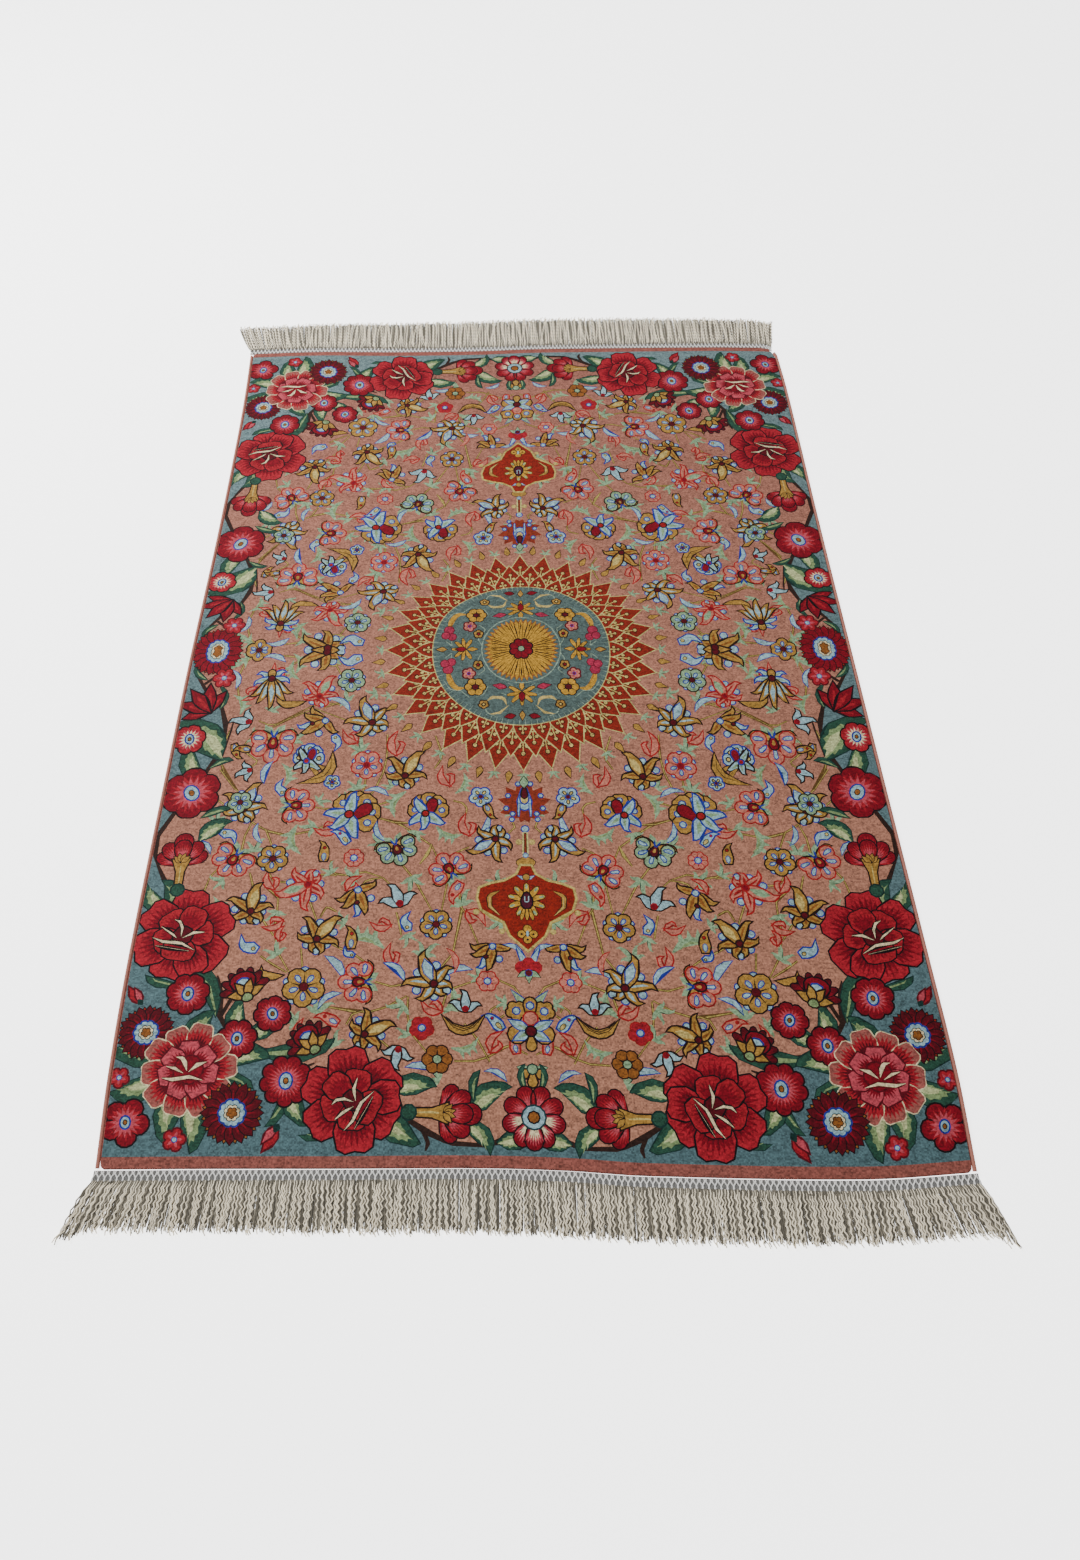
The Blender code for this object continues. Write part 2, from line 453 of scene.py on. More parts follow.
def thin_leaf(size, tint):
    """A narrow curved leaf, with a darker line along its outer side."""
    line, dye = TINTS[tint][:2]
    path = (0.0 - 1.1j, 0.28 - 0.5j, 0.32 + 0.1j, 0.1 + 0.7j, -0.25 + 1.15j)
    body = ribbon([p * size for p in path], [w * size for w in (0.0, 0.34, 0.42, 0.26, 0.0)])
    return lined(line, dye, body, 0.95)


def flame(size, tint="red"):
    """An open leaf drawn in a red line, with a curl at its foot."""
    line, dye = TINTS[tint][:2]
    leaf_path = (0.0 - 0.9j, -0.3 - 0.3j, -0.2 + 0.4j, 0.3 + 1.0j)
    body = ribbon([p * size for p in leaf_path], [w * size for w in (0.0, 0.44, 0.36, 0.0)])
    curl_path = (0.0 - 0.9j, 0.35 - 0.6j, 0.62 - 0.15j, 0.4 + 0.12j)
    side = ribbon([p * size for p in curl_path], [w * size for w in (0.0, 0.3, 0.26, 0.0)])
    return lined(line, dye, side) + lined(line, dye, body)


SPRIG_LEAVES = (
    # turn, length, width, hook
    (78, 1.0, 0.42, -0.3),
    (-66, 1.1, 0.44, 0.3),
    (30, 1.4, 0.46, -0.25),
    (-22, 1.7, 0.5, 0.3),
)


def sprig(size):
    """A spray of soft leaves with no line round them, and one dark dash."""
    patches = []
    for turn, length, width, hook in SPRIG_LEAVES:
        shape = jagged(hooked(length * size, width * size, hook), 0.1)
        patches.append(("mint", turned(shape, turn, -0.6j * size)))
    dash = stroke([-0.3j * size, 0.2 * size + 0.45j * size], 0.14 * size, 0.3, 0.2, 2)
    return patches + [("spruce", dash)]


def long_sprig(size):
    """One long soft leaf with feathery barbs on its outer side."""
    path = (-0.3 - 1.4j, 0.15 - 0.75j, 0.32 + 0.0j, 0.1 + 0.75j, -0.45 + 1.4j)
    body = ribbon([p * size for p in path], [w * size for w in (0.14, 0.5, 0.62, 0.4, 0.0)])
    patches = []
    for along in (-0.75, -0.2, 0.35):
        barb = blade(0.85 * size, 0.36 * size, 0.5, 0.4, 4)
        patches.append(("mint", turned(barb, -48 + 14 * along, (0.2 + 1j * along) * size)))
    patches.append(("mint", jagged(body, 0.08)))
    return patches + [("pale_leaf", stroke([p * 0.6 * size for p in path], 0.2 * size, 0.3, 0.2, 2))]


def bud(size, tint):
    """A closed bud with a pale drop in it and a hooked tip."""
    line, dye, _, dot, dot_line, _ = TINTS[tint]
    path = (0.0 - 1.0j, 0.0 - 0.4j, 0.0 + 0.4j, -0.16 + 0.95j, -0.5 + 1.25j)
    body = ribbon([p * size for p in path], [w * size for w in (0.66, 1.0, 0.72, 0.3, 0.0)])
    patches = lined(line, dye, body)
    patches += drop(dot_line, dot, 0.75 * size, 0.44 * size, 0, -0.9j * size, 0.8)
    return patches + lined(line, "coral", ring(0.15 * size, 7, 0.5j * size), 0.7)


def pale_bud(size, tint):
    """Three short pale petals round a red heart."""
    *_, dot_line, _ = TINTS[tint]
    rows = ((48, 1.2, 0.55, -0.3), (-55, 1.1, 0.55, 0.3), (-2, 1.5, 0.6, -0.35))
    patches = petals(rows, size, -0.5j * size, dot_line, "sky")
    return patches + lined("coral", "crimson", ring(0.2 * size, 7, -0.35j * size), 0.7)


# ------------------------------------------------------------------ flowers of the border


def flare(spread, inner, outer, spikes, at=0j):
    """A fan of streaks that opens upwards, like the shading at the foot of a petal."""
    points = [at - 0.2j * inner]
    for i in range(2 * spikes + 1):
        turn = math.radians(90 + spread * (0.5 - i / (2 * spikes)))
        reach = outer * (1.0 - 0.18 * abs(2 * i / (2 * spikes) - 1)) if i % 2 else inner
        points.append(at + cmath.rect(reach, turn))
    return points


def flared_petal(length, width, dyes, wave=0.0, by=1.3):
    """A petal with a dark line, and streaks of the other dyes that fan out from its foot."""
    patches = lined("ink", dyes[0], petal(length, width, wave, 16), by)
    spread = math.degrees(math.atan2(width, length)) * 1.6
    patches.append((dyes[1], flare(spread, 0.62 * length, 0.9 * length, 8)))
    if len(dyes) > 2:
        patches.append((dyes[2], flare(spread * 0.85, 0.45 * length, 0.72 * length, 6)))
    return patches


def set_in(patches, turn, at=0j):
    """The patches of a motif, turned and moved to a place."""
    return [(dye, turned(outline, turn, at)) for dye, outline in patches]


RED_PETALS = ("crimson", "rose", "pink")
PALE_PETALS = ("crimson", "pink", "cream")
ROSE_PETALS = ("coral_rim", "crimson", "wine")
BOWL_PETALS = ("rose", "crimson")

ROSE_RING = (
    # turn, distance out, length, width, all as shares of the rose's radius
    (-4, 0.14, 0.92, 0.92),
    (168, 0.14, 0.84, 1.05),
    (52, 0.14, 0.9, 0.92),
    (-62, 0.12, 0.96, 0.98),
    (112, 0.14, 0.9, 0.95),
    (-126, 0.14, 0.9, 1.0),
    (-157, 0.19, 0.75, 0.8),
)
ROSE_BOWL = (
    (36, 0.08, 0.56, 0.7),
    (-82, 0.06, 0.56, 0.66),
    (106, 0.06, 0.54, 0.66),
    (-22, 0.08, 0.6, 0.66),
    (172, 0.04, 0.52, 0.84),
)
ROSE_LIGHTS = (
    # paths of the pale folds in the rose's heart, as shares of its radius
    (-0.25 + 0.42j, -0.12 + 0.36j, -0.04 + 0.2j, -0.04 - 0.02j),
    (-0.54 + 0.24j, -0.34 + 0.12j, -0.14 - 0.06j),
    (0.5 + 0.08j, 0.25 + 0.07j, 0.0 - 0.06j),
    (-0.7 - 0.04j, -0.45 - 0.15j, 0.0 - 0.2j, 0.32 - 0.38j),
    (-0.6 - 0.25j, -0.3 - 0.32j, 0.2 - 0.4j),
)


def rose(radius):
    """A full rose: a ring of broad petals, a bowl of smaller ones and pale folds in its heart."""
    patches = []
    for turn, out, length, width in ROSE_RING:
        shape = flared_petal(length * radius, width * radius, ROSE_PETALS, 0.06, 1.6)
        patches += set_in(shape, turn, ahead(out * radius, turn))
    for turn, out, length, width in ROSE_BOWL:
        shape = flared_petal(length * radius, width * radius, BOWL_PETALS, 0.04, 1.4)
        patches += set_in(shape, turn, ahead(out * radius, turn))
    patches += lined("ink", "wine", ring(0.2 * radius, 9, -0.02 + 0.02j))
    for path in ROSE_LIGHTS:
        points = [p * radius * 0.88 for p in path]
        patches.append(("ink", stroke(points, 0.1 * radius, 0.3, 0.3, 3)))
        patches.append(("cream", stroke(points, 0.06 * radius, 0.1, 0.1, 3)))
    return patches


def frilled_rose(radius):
    """The corner rose: pale frilled petals over deeper rings, with pale folds in its heart."""
    patches = []
    for i in range(10):
        turn = 36 * i + 8
        length = radius * (0.68 + 0.05 * (i % 2))
        shape = lined("cream", "old_rose", petal(length, 0.62 * radius, 0.05, 26), 1.0)
        shape.append(("rose", flare(68, 0.66 * length, 0.9 * length, 7)))
        shape.append(("wine", flare(56, 0.46 * length, 0.72 * length, 6)))
        patches += set_in(shape, turn, ahead(0.3 * radius, turn))
    for i in range(7):
        turn = 360 * i / 7 - 12
        length = 0.54 * radius
        shape = lined("wine", "pink", petal(length, 0.54 * radius, 0.05, 20), 1.2)
        shape.append(("crimson", flare(66, 0.5 * length, 0.8 * length, 6)))
        shape.append(("wine", flare(56, 0.3 * length, 0.55 * length, 5)))
        patches += set_in(shape, turn, ahead(0.1 * radius, turn))
    patches += lined("wine", "crimson", lobed(0.3 * radius, 5, 0.15))
    for path in ROSE_LIGHTS[:4]:
        points = [p * radius * 0.8 for p in path]
        patches.append(("wine", stroke(points, 0.13 * radius, 0.3, 0.3, 3)))
        patches.append(("cream", stroke(points, 0.08 * radius, 0.1, 0.1, 3)))
    return patches


def anemone(radius, lobes=6, dyes=RED_PETALS, eye=0.3, eye_dye="sky", flat=0.75):
    """A round flower from above: streaks run out from a pale eye to a notched red rim."""
    deep = 0.3 if lobes < 6 else 0.17
    patches = lined("ink", dyes[0], lobed(radius, lobes, deep, 6))
    for i in range(lobes):
        crease = blade(0.9 * radius, 0.1 * radius, 0, 0.7, 3)
        patches.append(("ink", turned(crease, 360 * i / lobes)))
    streaks = max(18, 3 * lobes)
    patches.append((dyes[1], star(streaks, 0.8 * radius, 0.5 * radius)))
    patches.append((dyes[2], turned(star(streaks - 3, 0.66 * radius, 0.38 * radius), 7)))
    middle = [complex(p.real * flat, p.imag) for p in ring(eye * radius, 12)]
    patches += lined("royal", eye_dye, middle)
    return patches + lined("ink", "amber", scaled(middle, 0.36), 0.9)


def aster(radius, points=15, outer_dye="wine", tip_dye="amber"):
    """A many-pointed flower with a scalloped pale eye."""
    patches = []
    for i in range(points):
        turn = 360 * (i + 0.5) / points
        tip = blade(0.95 * radius, 0.3 * radius, 0, 0.75, 5)
        patches += lined("ink", tip_dye, turned(tip, turn), 0.9)
    for i in range(points):
        turn = 360 * i / points
        shape = blade(radius, 0.36 * radius, 0, 0.68, 5)
        patches += lined("ink", outer_dye, turned(shape, turn), 0.9)
        light = blade(0.75 * radius, 0.12 * radius, 0, 0.7, 3)
        patches.append(("crimson", turned(light, turn)))
    patches += lined("royal", "sky", lobed(0.42 * radius, 10, 0.14, 4))
    patches += lined("teal_dark", "cream", lobed(0.26 * radius, 8, 0.2, 4), 0.8)
    return patches + lined("ink", "amber", lobed(0.17 * radius, 5, 0.3, 4), 0.8)


def little_flower(radius, lobes=5, dye="rose", eye="sky"):
    patches = lined("wine", dye, lobed(0.92 * radius, lobes, 0.32, 5))
    for i in range(lobes):
        light = blade(0.7 * radius, 0.26 * radius, 0, 0.6, 4)
        patches.append(("pink", turned(light, 360 * (i + 0.5) / lobes)))
    return patches + lined("royal", eye, ring(0.2 * radius, 7), 0.8)


def leaf(size, bend=0.25, width=0.5):
    """A broad green leaf, pale along one side of its middle. Its stalk end is at the origin."""
    path = (0j, 0.25j, 0.55j + 0.1 * bend, 0.85j + 0.45 * bend, 1.0j + bend)
    widths = (0.0, 0.85, 1.0, 0.5, 0.0)
    body = ribbon([p * size for p in path], [w * width * size for w in widths], 3)
    patches = lined("spruce", "leaf", body, 1.0)
    pale = [p * 0.86 * size + 0.05 * width * size for p in path]
    pale = ribbon(pale, [w * 0.66 * width * size for w in widths], 3)
    patches.append(("pale_leaf", jagged(pale, 0.2)))
    light = [p * 0.7 * size + 0.09 * width * size for p in path]
    light = ribbon(light, [w * 0.34 * width * size for w in widths], 2)
    return patches + [("cream_leaf", jagged(light, 0.2))]


def slim_leaf(size, bend=0.6, width=0.26):
    """A dark curved leaf with one pale streak. Its stalk end is at the origin."""
    path = (0j, 0.3j, 0.6j + 0.15 * bend, 0.85j + 0.5 * bend, 0.98j + bend)
    widths = (0.0, 0.8, 1.0, 0.6, 0.0)
    body = ribbon([p * size for p in path], [w * width * size for w in widths])
    patches = lined("spruce", "leaf", body, 1.0)
    streak = ribbon([p * 0.8 * size for p in path], [w * 0.26 * width * size for w in widths])
    return patches + [("pale_leaf", streak)]


def cup_flower(radius):
    """A half-open flower: a scalloped red hood over gold sepals and a pale throat."""
    patches = []
    for turn in (80, -80, 52, -52, 26, -26, 0):
        shape = flared_petal(1.3 * radius, 0.5 * radius, ("wine", "crimson"))
        patches += set_in(shape, turn, -0.35j * radius)
    patches += lined("ink", "crimson", petal_at(1.2 * radius, 1.5 * radius, 0, -0.5j * radius, 14))
    patches += lined("royal", "sky", petal_at(0.85 * radius, 0.8 * radius, 0, -0.5j * radius))
    for turn in (58, -58, 20, -20):
        shape = blade(0.95 * radius, 0.42 * radius, -turn * 0.004, 0.5)
        patches += lined("bark", "gold", turned(shape, turn, -0.7j * radius))
    return patches + lined("bark", "pale_leaf", petal_at(0.42 * radius, 0.6 * radius, 180, -0.5j * radius))


def trumpet(radius):
    """A flower from the side: round red lobes at the mouth of a gold tube."""
    patches = []
    for turn, out, length, width in (
        (68, 0.05, 1.0, 0.66),
        (-68, 0.05, 1.0, 0.66),
        (38, 0.1, 1.05, 0.72),
        (-38, 0.1, 1.05, 0.72),
        (0, 0.35, 1.0, 0.84),
        (0, 0.1, 0.95, 0.76),
    ):
        shape = flared_petal(length * radius, width * radius, RED_PETALS)
        patches += set_in(shape, turn, ahead(out * radius, turn))
    tube = ribbon(
        [0.2j * radius, -0.35j * radius, -1.05j * radius],
        [0.7 * radius, 0.3 * radius, 0.26 * radius],
    )
    patches += lined("bark", "gold", tube)
    patches.append(("straw", stroke([-0.85j * radius, -0.1j * radius], 0.14 * radius, 0.3, 0.3, 3)))
    for turn in (48, 16, -16, -48):
        sepal = turned(blade(0.42 * radius, 0.2 * radius), turn, 0.05j * radius)
        patches += lined("bark", "gold", sepal, 0.8)
    return patches + lined("spruce", "leaf", ring(0.24 * radius, 9, -1.15j * radius))


def tulip(radius):
    """A red tulip from the side, its petals pointed."""
    patches = []
    for turn, length, width, bend in (
        (54, 1.3, 0.5, -0.2),
        (-54, 1.3, 0.5, 0.2),
        (26, 1.7, 0.6, -0.1),
        (-26, 1.7, 0.6, 0.1),
        (0, 1.8, 0.62, 0.0),
    ):
        shape = turned(blade(length * radius, width * radius, bend, 0.5, 7), turn, -0.8j * radius)
        patches += lined("ink", "crimson", shape)
        light = blade(0.8 * length * radius, 0.4 * width * radius, bend, 0.5, 7)
        patches.append(("rose", turned(jagged(light, 0.3), turn, -0.8j * radius)))
    return patches


def front_flower(radius):
    """The round flower at the middle of an end border, paler towards its lowest petals."""
    patches = []
    for turn in (20, -20, 62, -62, 106, -106, 150, -150, 180):
        dyes = RED_PETALS if abs(turn) < 90 else PALE_PETALS
        shape = flared_petal(0.86 * radius, 0.66 * radius, dyes)
        patches += set_in(shape, turn, ahead(0.16 * radius, turn))
    patches += lined("teal_dark", "sky", ring(0.36 * radius, 12))
    return patches + lined("ink", "amber", ring(0.17 * radius, 8), 1.4)


def pink_bud(size):
    """A closed bud of pointed pink petals."""
    patches = lined("wine", "rose", turned(blade(1.7 * size, 0.7 * size, 0.2), 12, -0.8j * size))
    patches += lined("wine", "pink", turned(blade(1.3 * size, 0.5 * size, -0.2), -24, -0.8j * size))
    return patches + [("spruce", turned(blade(0.7 * size, 0.5 * size), 0, -1.1j * size))]


# --------------------------------------------------------------------------- the tables

MOTIFS = {
    "lily": lily,
    "half_lily": half_lily,
    "palmette": palmette,
    "side_palmette": side_palmette,
    "rosette": rosette,
    "hook_leaf": hook_leaf,
    "boat_leaf": boat_leaf,
    "crescent": crescent,
    "paisley": paisley,
    "thin_leaf": thin_leaf,
    "flame": flame,
    "bud": bud,
    "pale_bud": pale_bud,
}

FIELD = (
    # motif, tint, x, y, size, turn
    ("lily", "gold", -246, -3, 28, 90),
    ("rosette", "gold", -318, 0, 16, 0),
    ("thin_leaf", "blue", -296, -12, 12, 70),
    ("paisley", "blue", -204, -15, 15, 100),
    ("flame", "red", -292, -30, 11, 40),
    ("thin_leaf", "blue", -340, -40, 12, 10),
    ("flame", "red", -318, -62, 12, 150),
    ("flame", "red", -198, -122, 12, 60),
    ("thin_leaf", "blue", -162, -190, 12, 70),
    ("paisley", "blue", -270, -186, 11, 20),
    ("flame", "red", -214, -238, 13, 100),
    ("flame", "red", -268, -300, 12, 30),
    ("bud", "blue", -196, -246, 10, 40),
    ("thin_leaf", "blue", -44, -232, 12, -30),
    ("flame", "red", -182, -302, 11, -30),
    ("thin_leaf", "blue", -342, -258, 10, 40),
    ("bud", "red", -74, -312, 11, 150),
    ("paisley", "blue", -124, -348, 11, 10),
    ("flame", "red", -258, -350, 11, 120),
    ("bud", "gold", -178, -365, 11, 0),
    ("flame", "red", -138, -384, 12, 20),
    ("thin_leaf", "blue", -70, -402, 13, 100),
    ("flame", "red", -96, -440, 12, 70),
    ("thin_leaf", "blue", -196, -430, 12, 120),
    ("bud", "blue", -34, -454, 10, 40),
    ("flame", "red", -222, -462, 11, 10),
    ("thin_leaf", "blue", -106, -500, 12, 70),
    ("bud", "red", -16, -476, 9, 10),
    ("lily", "red", -240, -57, 21, 15),
    ("rosette", "mint", -202, -42, 17, 0),
    ("boat_leaf", "gold", -266, -75, 17, 0),
    ("thin_leaf", "blue", -213, -76, 15, 50),
    ("pale_bud", "blue", -322, -100, 16, 80),
    ("half_lily", "gold", -240, -103, 21, -75),
    ("lily", "fan", -182, -97, 25, 60),
    ("palmette", "red", -285, -131, 24, 180),
    ("bud", "gold", -326, -138, 9, 200),
    ("bud", "gold", -318, -135, 8, 80),
    ("side_palmette", "blue", -242, -147, 17, 20),
    ("paisley", "blue", -212, -126, 10, 200),
    ("hook_leaf", "gold", -226, -163, 27, 0),
    ("rosette", "blue", -213, -177, 9, 0),
    ("rosette", "red", -176, -155, 18, 0),
    ("flame", "red", -146, -130, 15, 10),
    ("lily", "gold", -134, -160, 23, 10),
    ("flame", "red", -88, -172, 14, 30),
    ("pale_bud", "blue", -311, -163, 12, 110),
    ("thin_leaf", "blue", -287, -164, 13, 160),
    ("lily", "fan", -310, -203, 24, 20),
    ("rosette", "mint", -312, -203, 14, 0),
    ("palmette", "red", -248, -207, 20, -90),
    ("side_palmette", "gold", -185, -217, 28, -20),
    ("side_palmette", "gold", -105, -214, 22, 20),
    ("rosette", "blue", -48, -197, 13, 0),
    ("bud", "gold", -39, -216, 9, 200),
    ("paisley", "blue", -318, -243, 12, 240),
    ("thin_leaf", "blue", -287, -242, 11, 190),
    ("thin_leaf", "blue", -156, -240, 12, 200),
    ("flame", "red", -64, -234, 14, 20),
    ("lily", "fan", -35, -258, 22, 160),
    ("palmette", "red", -311, -276, 21, 150),
    ("rosette", "gold", -268, -273, 17, 0),
    ("bud", "gold", -214, -265, 11, 0),
    ("palmette", "mint", -136, -264, 20, 200),
    ("palmette", "red", -82, -284, 20, 30),
    ("lily", "gold", -288, -327, 22, 30),
    ("lily", "red", -232, -311, 23, 150),
    ("half_lily", "gold", -175, -322, 20, 0),
    ("pale_bud", "blue", -133, -320, 18, 20),
    ("rosette", "gold", -93, -350, 17, 0),
    ("flame", "red", -52, -341, 13, -120),
    ("flame", "red", -149, -351, 11, 90),
    ("paisley", "blue", -282, -374, 13, 60),
    ("flame", "red", -251, -360, 8, 0),
    ("lily", "gold", -213, -357, 22, 0),
    ("half_lily", "gold", -41, -384, 18, -30),
    ("thin_leaf", "blue", -14, -378, 10, 50),
    ("paisley", "blue", -180, -382, 7, 60),
    ("thin_leaf", "blue", -192, -396, 14, 30),
    ("thin_leaf", "blue", -132, -401, 13, 40),
    ("thin_leaf", "red", -76, -390, 12, 10),
    ("rosette", "gold", -222, -417, 22, 0),
    ("boat_leaf", "gold", -252, -405, 12, -10),
    ("palmette", "red", -170, -412, 20, 90),
    ("lily", "fan", -102, -410, 24, 60),
    ("pale_bud", "blue", -63, -436, 14, 0),
    ("crescent", "gold", -65, -455, 21, 0),
    ("bud", "red", -195, -450, 10, 60),
    ("lily", "gold", -156, -459, 20, -30),
    ("pale_bud", "blue", -128, -486, 14, 170),
    ("flame", "red", -36, -474, 12, -20),
    ("thin_leaf", "blue", -34, -506, 10, 60),
)

SPRIGS = (
    # x, y, size, turn
    (-327, -10, 14, 150),
    (-269, -18, 13, 10),
    (-330, -75, 14, 20),
    (-290, -82, 9, -30),
    (-187, -132, 12, 30),
    (-265, -167, 14, 10),
    (-222, -200, 9, -60),
    (-186, -180, 11, 10),
    (-140, -205, 16, 160),
    (-68, -180, 13, -20),
    (-82, -243, 14, -110),
    (-247, -251, 17, 190),
    (-289, -258, 11, 0),
    (-160, -253, 10, 60),
    (-320, -332, 14, 0),
    (-207, -286, 9, 30),
    (-68, -322, 12, 10),
    (-165, -368, 19, 80),
    (-255, -378, 11, 30),
    (-103, -378, 12, -20),
    (-52, -405, 9, 30),
    (-62, -478, 13, -70),
    (-78, -432, 15, -20),
    (-205, -438, 12, -30),
    (-190, -472, 10, 20),
    (-128, -440, 11, 120),
    (-92, -508, 9, 60),
    (-14, -338, 8, 0),
    (-345, -16, 12, 20),
    (-272, -30, 13, 200),
    (-208, -68, 11, 40),
    (-176, -62, 9, 100),
    (-222, -12, 9, -40),
    (-306, -122, 11, 60),
    (-260, -120, 12, -30),
    (-196, -200, 13, 100),
    (-150, -180, 9, 40),
    (-336, -222, 10, 20),
    (-232, -236, 11, 120),
    (-118, -246, 10, 160),
    (-16, -214, 9, 30),
    (-184, -296, 12, 70),
    (-118, -302, 12, 200),
    (-322, -300, 10, 100),
    (-258, -340, 10, 160),
    (-190, -345, 9, 60),
    (-120, -366, 9, 200),
    (-32, -300, 11, 30),
    (-30, -352, 10, 150),
    (-120, -462, 10, 20),
    (-232, -450, 10, 60),
    (-140, -505, 10, -70),
    (-28, -434, 8, 80),
)

VINES = (
    # the tendrils that join the flowers, each a path through a few points
    (-202 - 100j, -240 - 84j, -285 - 105j, -305 - 100j),
    (-205 - 78j, -235 - 76j, -262 - 90j, -292 - 112j),
    (-155 - 118j, -154 - 142j, -157 - 165j, -165 - 186j, -172 - 198j),
    (-176 - 172j, -177 - 185j, -180 - 196j),
    (-336 - 112j, -342 - 140j, -332 - 172j, -315 - 190j),
    (-305 - 115j, -318 - 135j, -300 - 150j, -310 - 160j),
    (-302 - 224j, -285 - 235j, -268 - 243j, -245 - 243j, -228 - 238j, -210 - 230j),
    (-296 - 230j, -301 - 245j, -302 - 262j, -306 - 272j),
    (-280 - 237j, -273 - 250j, -270 - 260j),
    (-163 - 222j, -150 - 226j, -132 - 233j, -114 - 247j, -100 - 258j, -94 - 272j),
    (-142 - 229j, -128 - 230j, -112 - 224j),
    (-100 - 256j, -103 - 268j, -112 - 280j),
    (-78 - 202j, -68 - 205j, -63 - 213j, -66 - 226j),
    (-162 - 207j, -150 - 203j, -140 - 206j),
    (-20 - 245j, -11 - 236j, -15 - 224j, -6 - 220j),
    (-206 - 275j, -203 - 289j, -188 - 293j, -168 - 289j, -150 - 296j, -140 - 306j),
    (-270 - 290j, -262 - 300j, -240 - 300j, -218 - 292j, -198 - 293j),
    (-340 - 160j, -331 - 173j, -320 - 186j),
    (-270 - 308j, -257 - 320j, -257 - 345j, -254 - 368j, -247 - 388j, -236 - 404j),
    (-278 - 333j, -266 - 350j, -257 - 362j),
    (-268 - 384j, -254 - 394j, -240 - 402j),
    (-228 - 376j, -227 - 390j, -222 - 404j),
    (-206 - 432j, -192 - 440j, -172 - 443j, -148 - 442j, -134 - 435j, -120 - 427j),
    (-178 - 456j, -173 - 446j, -162 - 442j),
    (-119 - 428j, -119 - 447j, -114 - 466j, -104 - 480j, -96 - 487j),
    (-74 - 493j, -55 - 493j, -38 - 487j, -22 - 478j, -4 - 486j),
    (-72 - 300j, -68 - 325j, -66 - 348j, -71 - 368j, -79 - 388j, -92 - 402j),
    (-68 - 330j, -61 - 342j, -56 - 360j, -50 - 372j),
    (-82 - 296j, -84 - 316j, -88 - 336j),
    (-86 - 442j, -81 - 425j, -66 - 415j, -50 - 412j),
    (-30 - 411j, -15 - 418j, -6 - 432j),
    (-25 - 447j, -34 - 452j, -39 - 444j, -33 - 438j, -29 - 444j),
    (-134 - 336j, -130 - 350j, -128 - 362j),
    (-152 - 412j, -136 - 417j, -120 - 414j),
    (-195 - 335j, -206 - 330j, -212 - 342j),
    (-290 - 290j, -285 - 305j, -290 - 318j),
    (-330 - 205j, -345 - 195j, -350 - 205j),
    (-100 - 120j, -92 - 145j, -100 - 160j),
    (-206 - 12j, -222 - 22j, -240 - 20j, -262 - 12j, -290 - 8j, -318 - 4j),
    (-262 - 12j, -280 - 26j, -282 - 44j, -296 - 56j),
    (-222 - 22j, -212 - 40j, -205 - 60j, -214 - 74j, -232 - 82j),
    (-318 - 4j, -334 - 22j, -336 - 52j, -326 - 84j),
    (-170 - 197j, -190 - 205j, -212 - 212j, -236 - 208j),
    (-138 - 270j, -128 - 284j, -116 - 300j, -104 - 322j, -96 - 338j),
    (-176 - 318j, -168 - 300j, -150 - 296j),
    (-320 - 280j, -332 - 296j, -334 - 318j, -322 - 336j),
    (-60 - 260j, -76 - 268j, -90 - 280j),
    (-213 - 358j, -196 - 372j, -172 - 384j, -152 - 400j),
    (-233 - 310j, -220 - 330j, -214 - 348j),
    (-156 - 460j, -142 - 474j, -130 - 484j),
    (-64 - 456j, -50 - 474j, -40 - 494j),
)

BORDER_VINE = (
    -383 + 8j, -388 - 20j, -378 - 48j, -352 - 78j, -342 - 104j, -344 - 135j, -354 - 160j, -372 - 200j,
    -388 - 226j, -395 - 250j, -390 - 278j, -375 - 302j, -358 - 330j, -336 - 380j, -316 - 412j,
    -302 - 446j, -276 - 478j, -248 - 486j, -214 - 500j, -186 - 514j, -150 - 530j, -122 - 544j,
    -98 - 560j, -66 - 571j, -34 - 568j, -10 - 552j, 12 - 552j,
)
BRANCHES = (
    (-300 - 448j, -302 - 425j, -308 - 405j),
    (-300 - 448j, -292 - 430j, -283 - 422j),
    (-276 - 478j, -250 - 481j, -228 - 480j, -215 - 478j),
    (-248 - 486j, -225 - 500j, -206 - 494j),
    (-350 - 150j, -338 - 138j, -334 - 100j),
    (-120 - 545j, -108 - 542j),
    (-104 - 556j, -98 - 568j, -100 - 576j),
    (-376 - 46j, -366 - 38j, -356 - 38j),
)

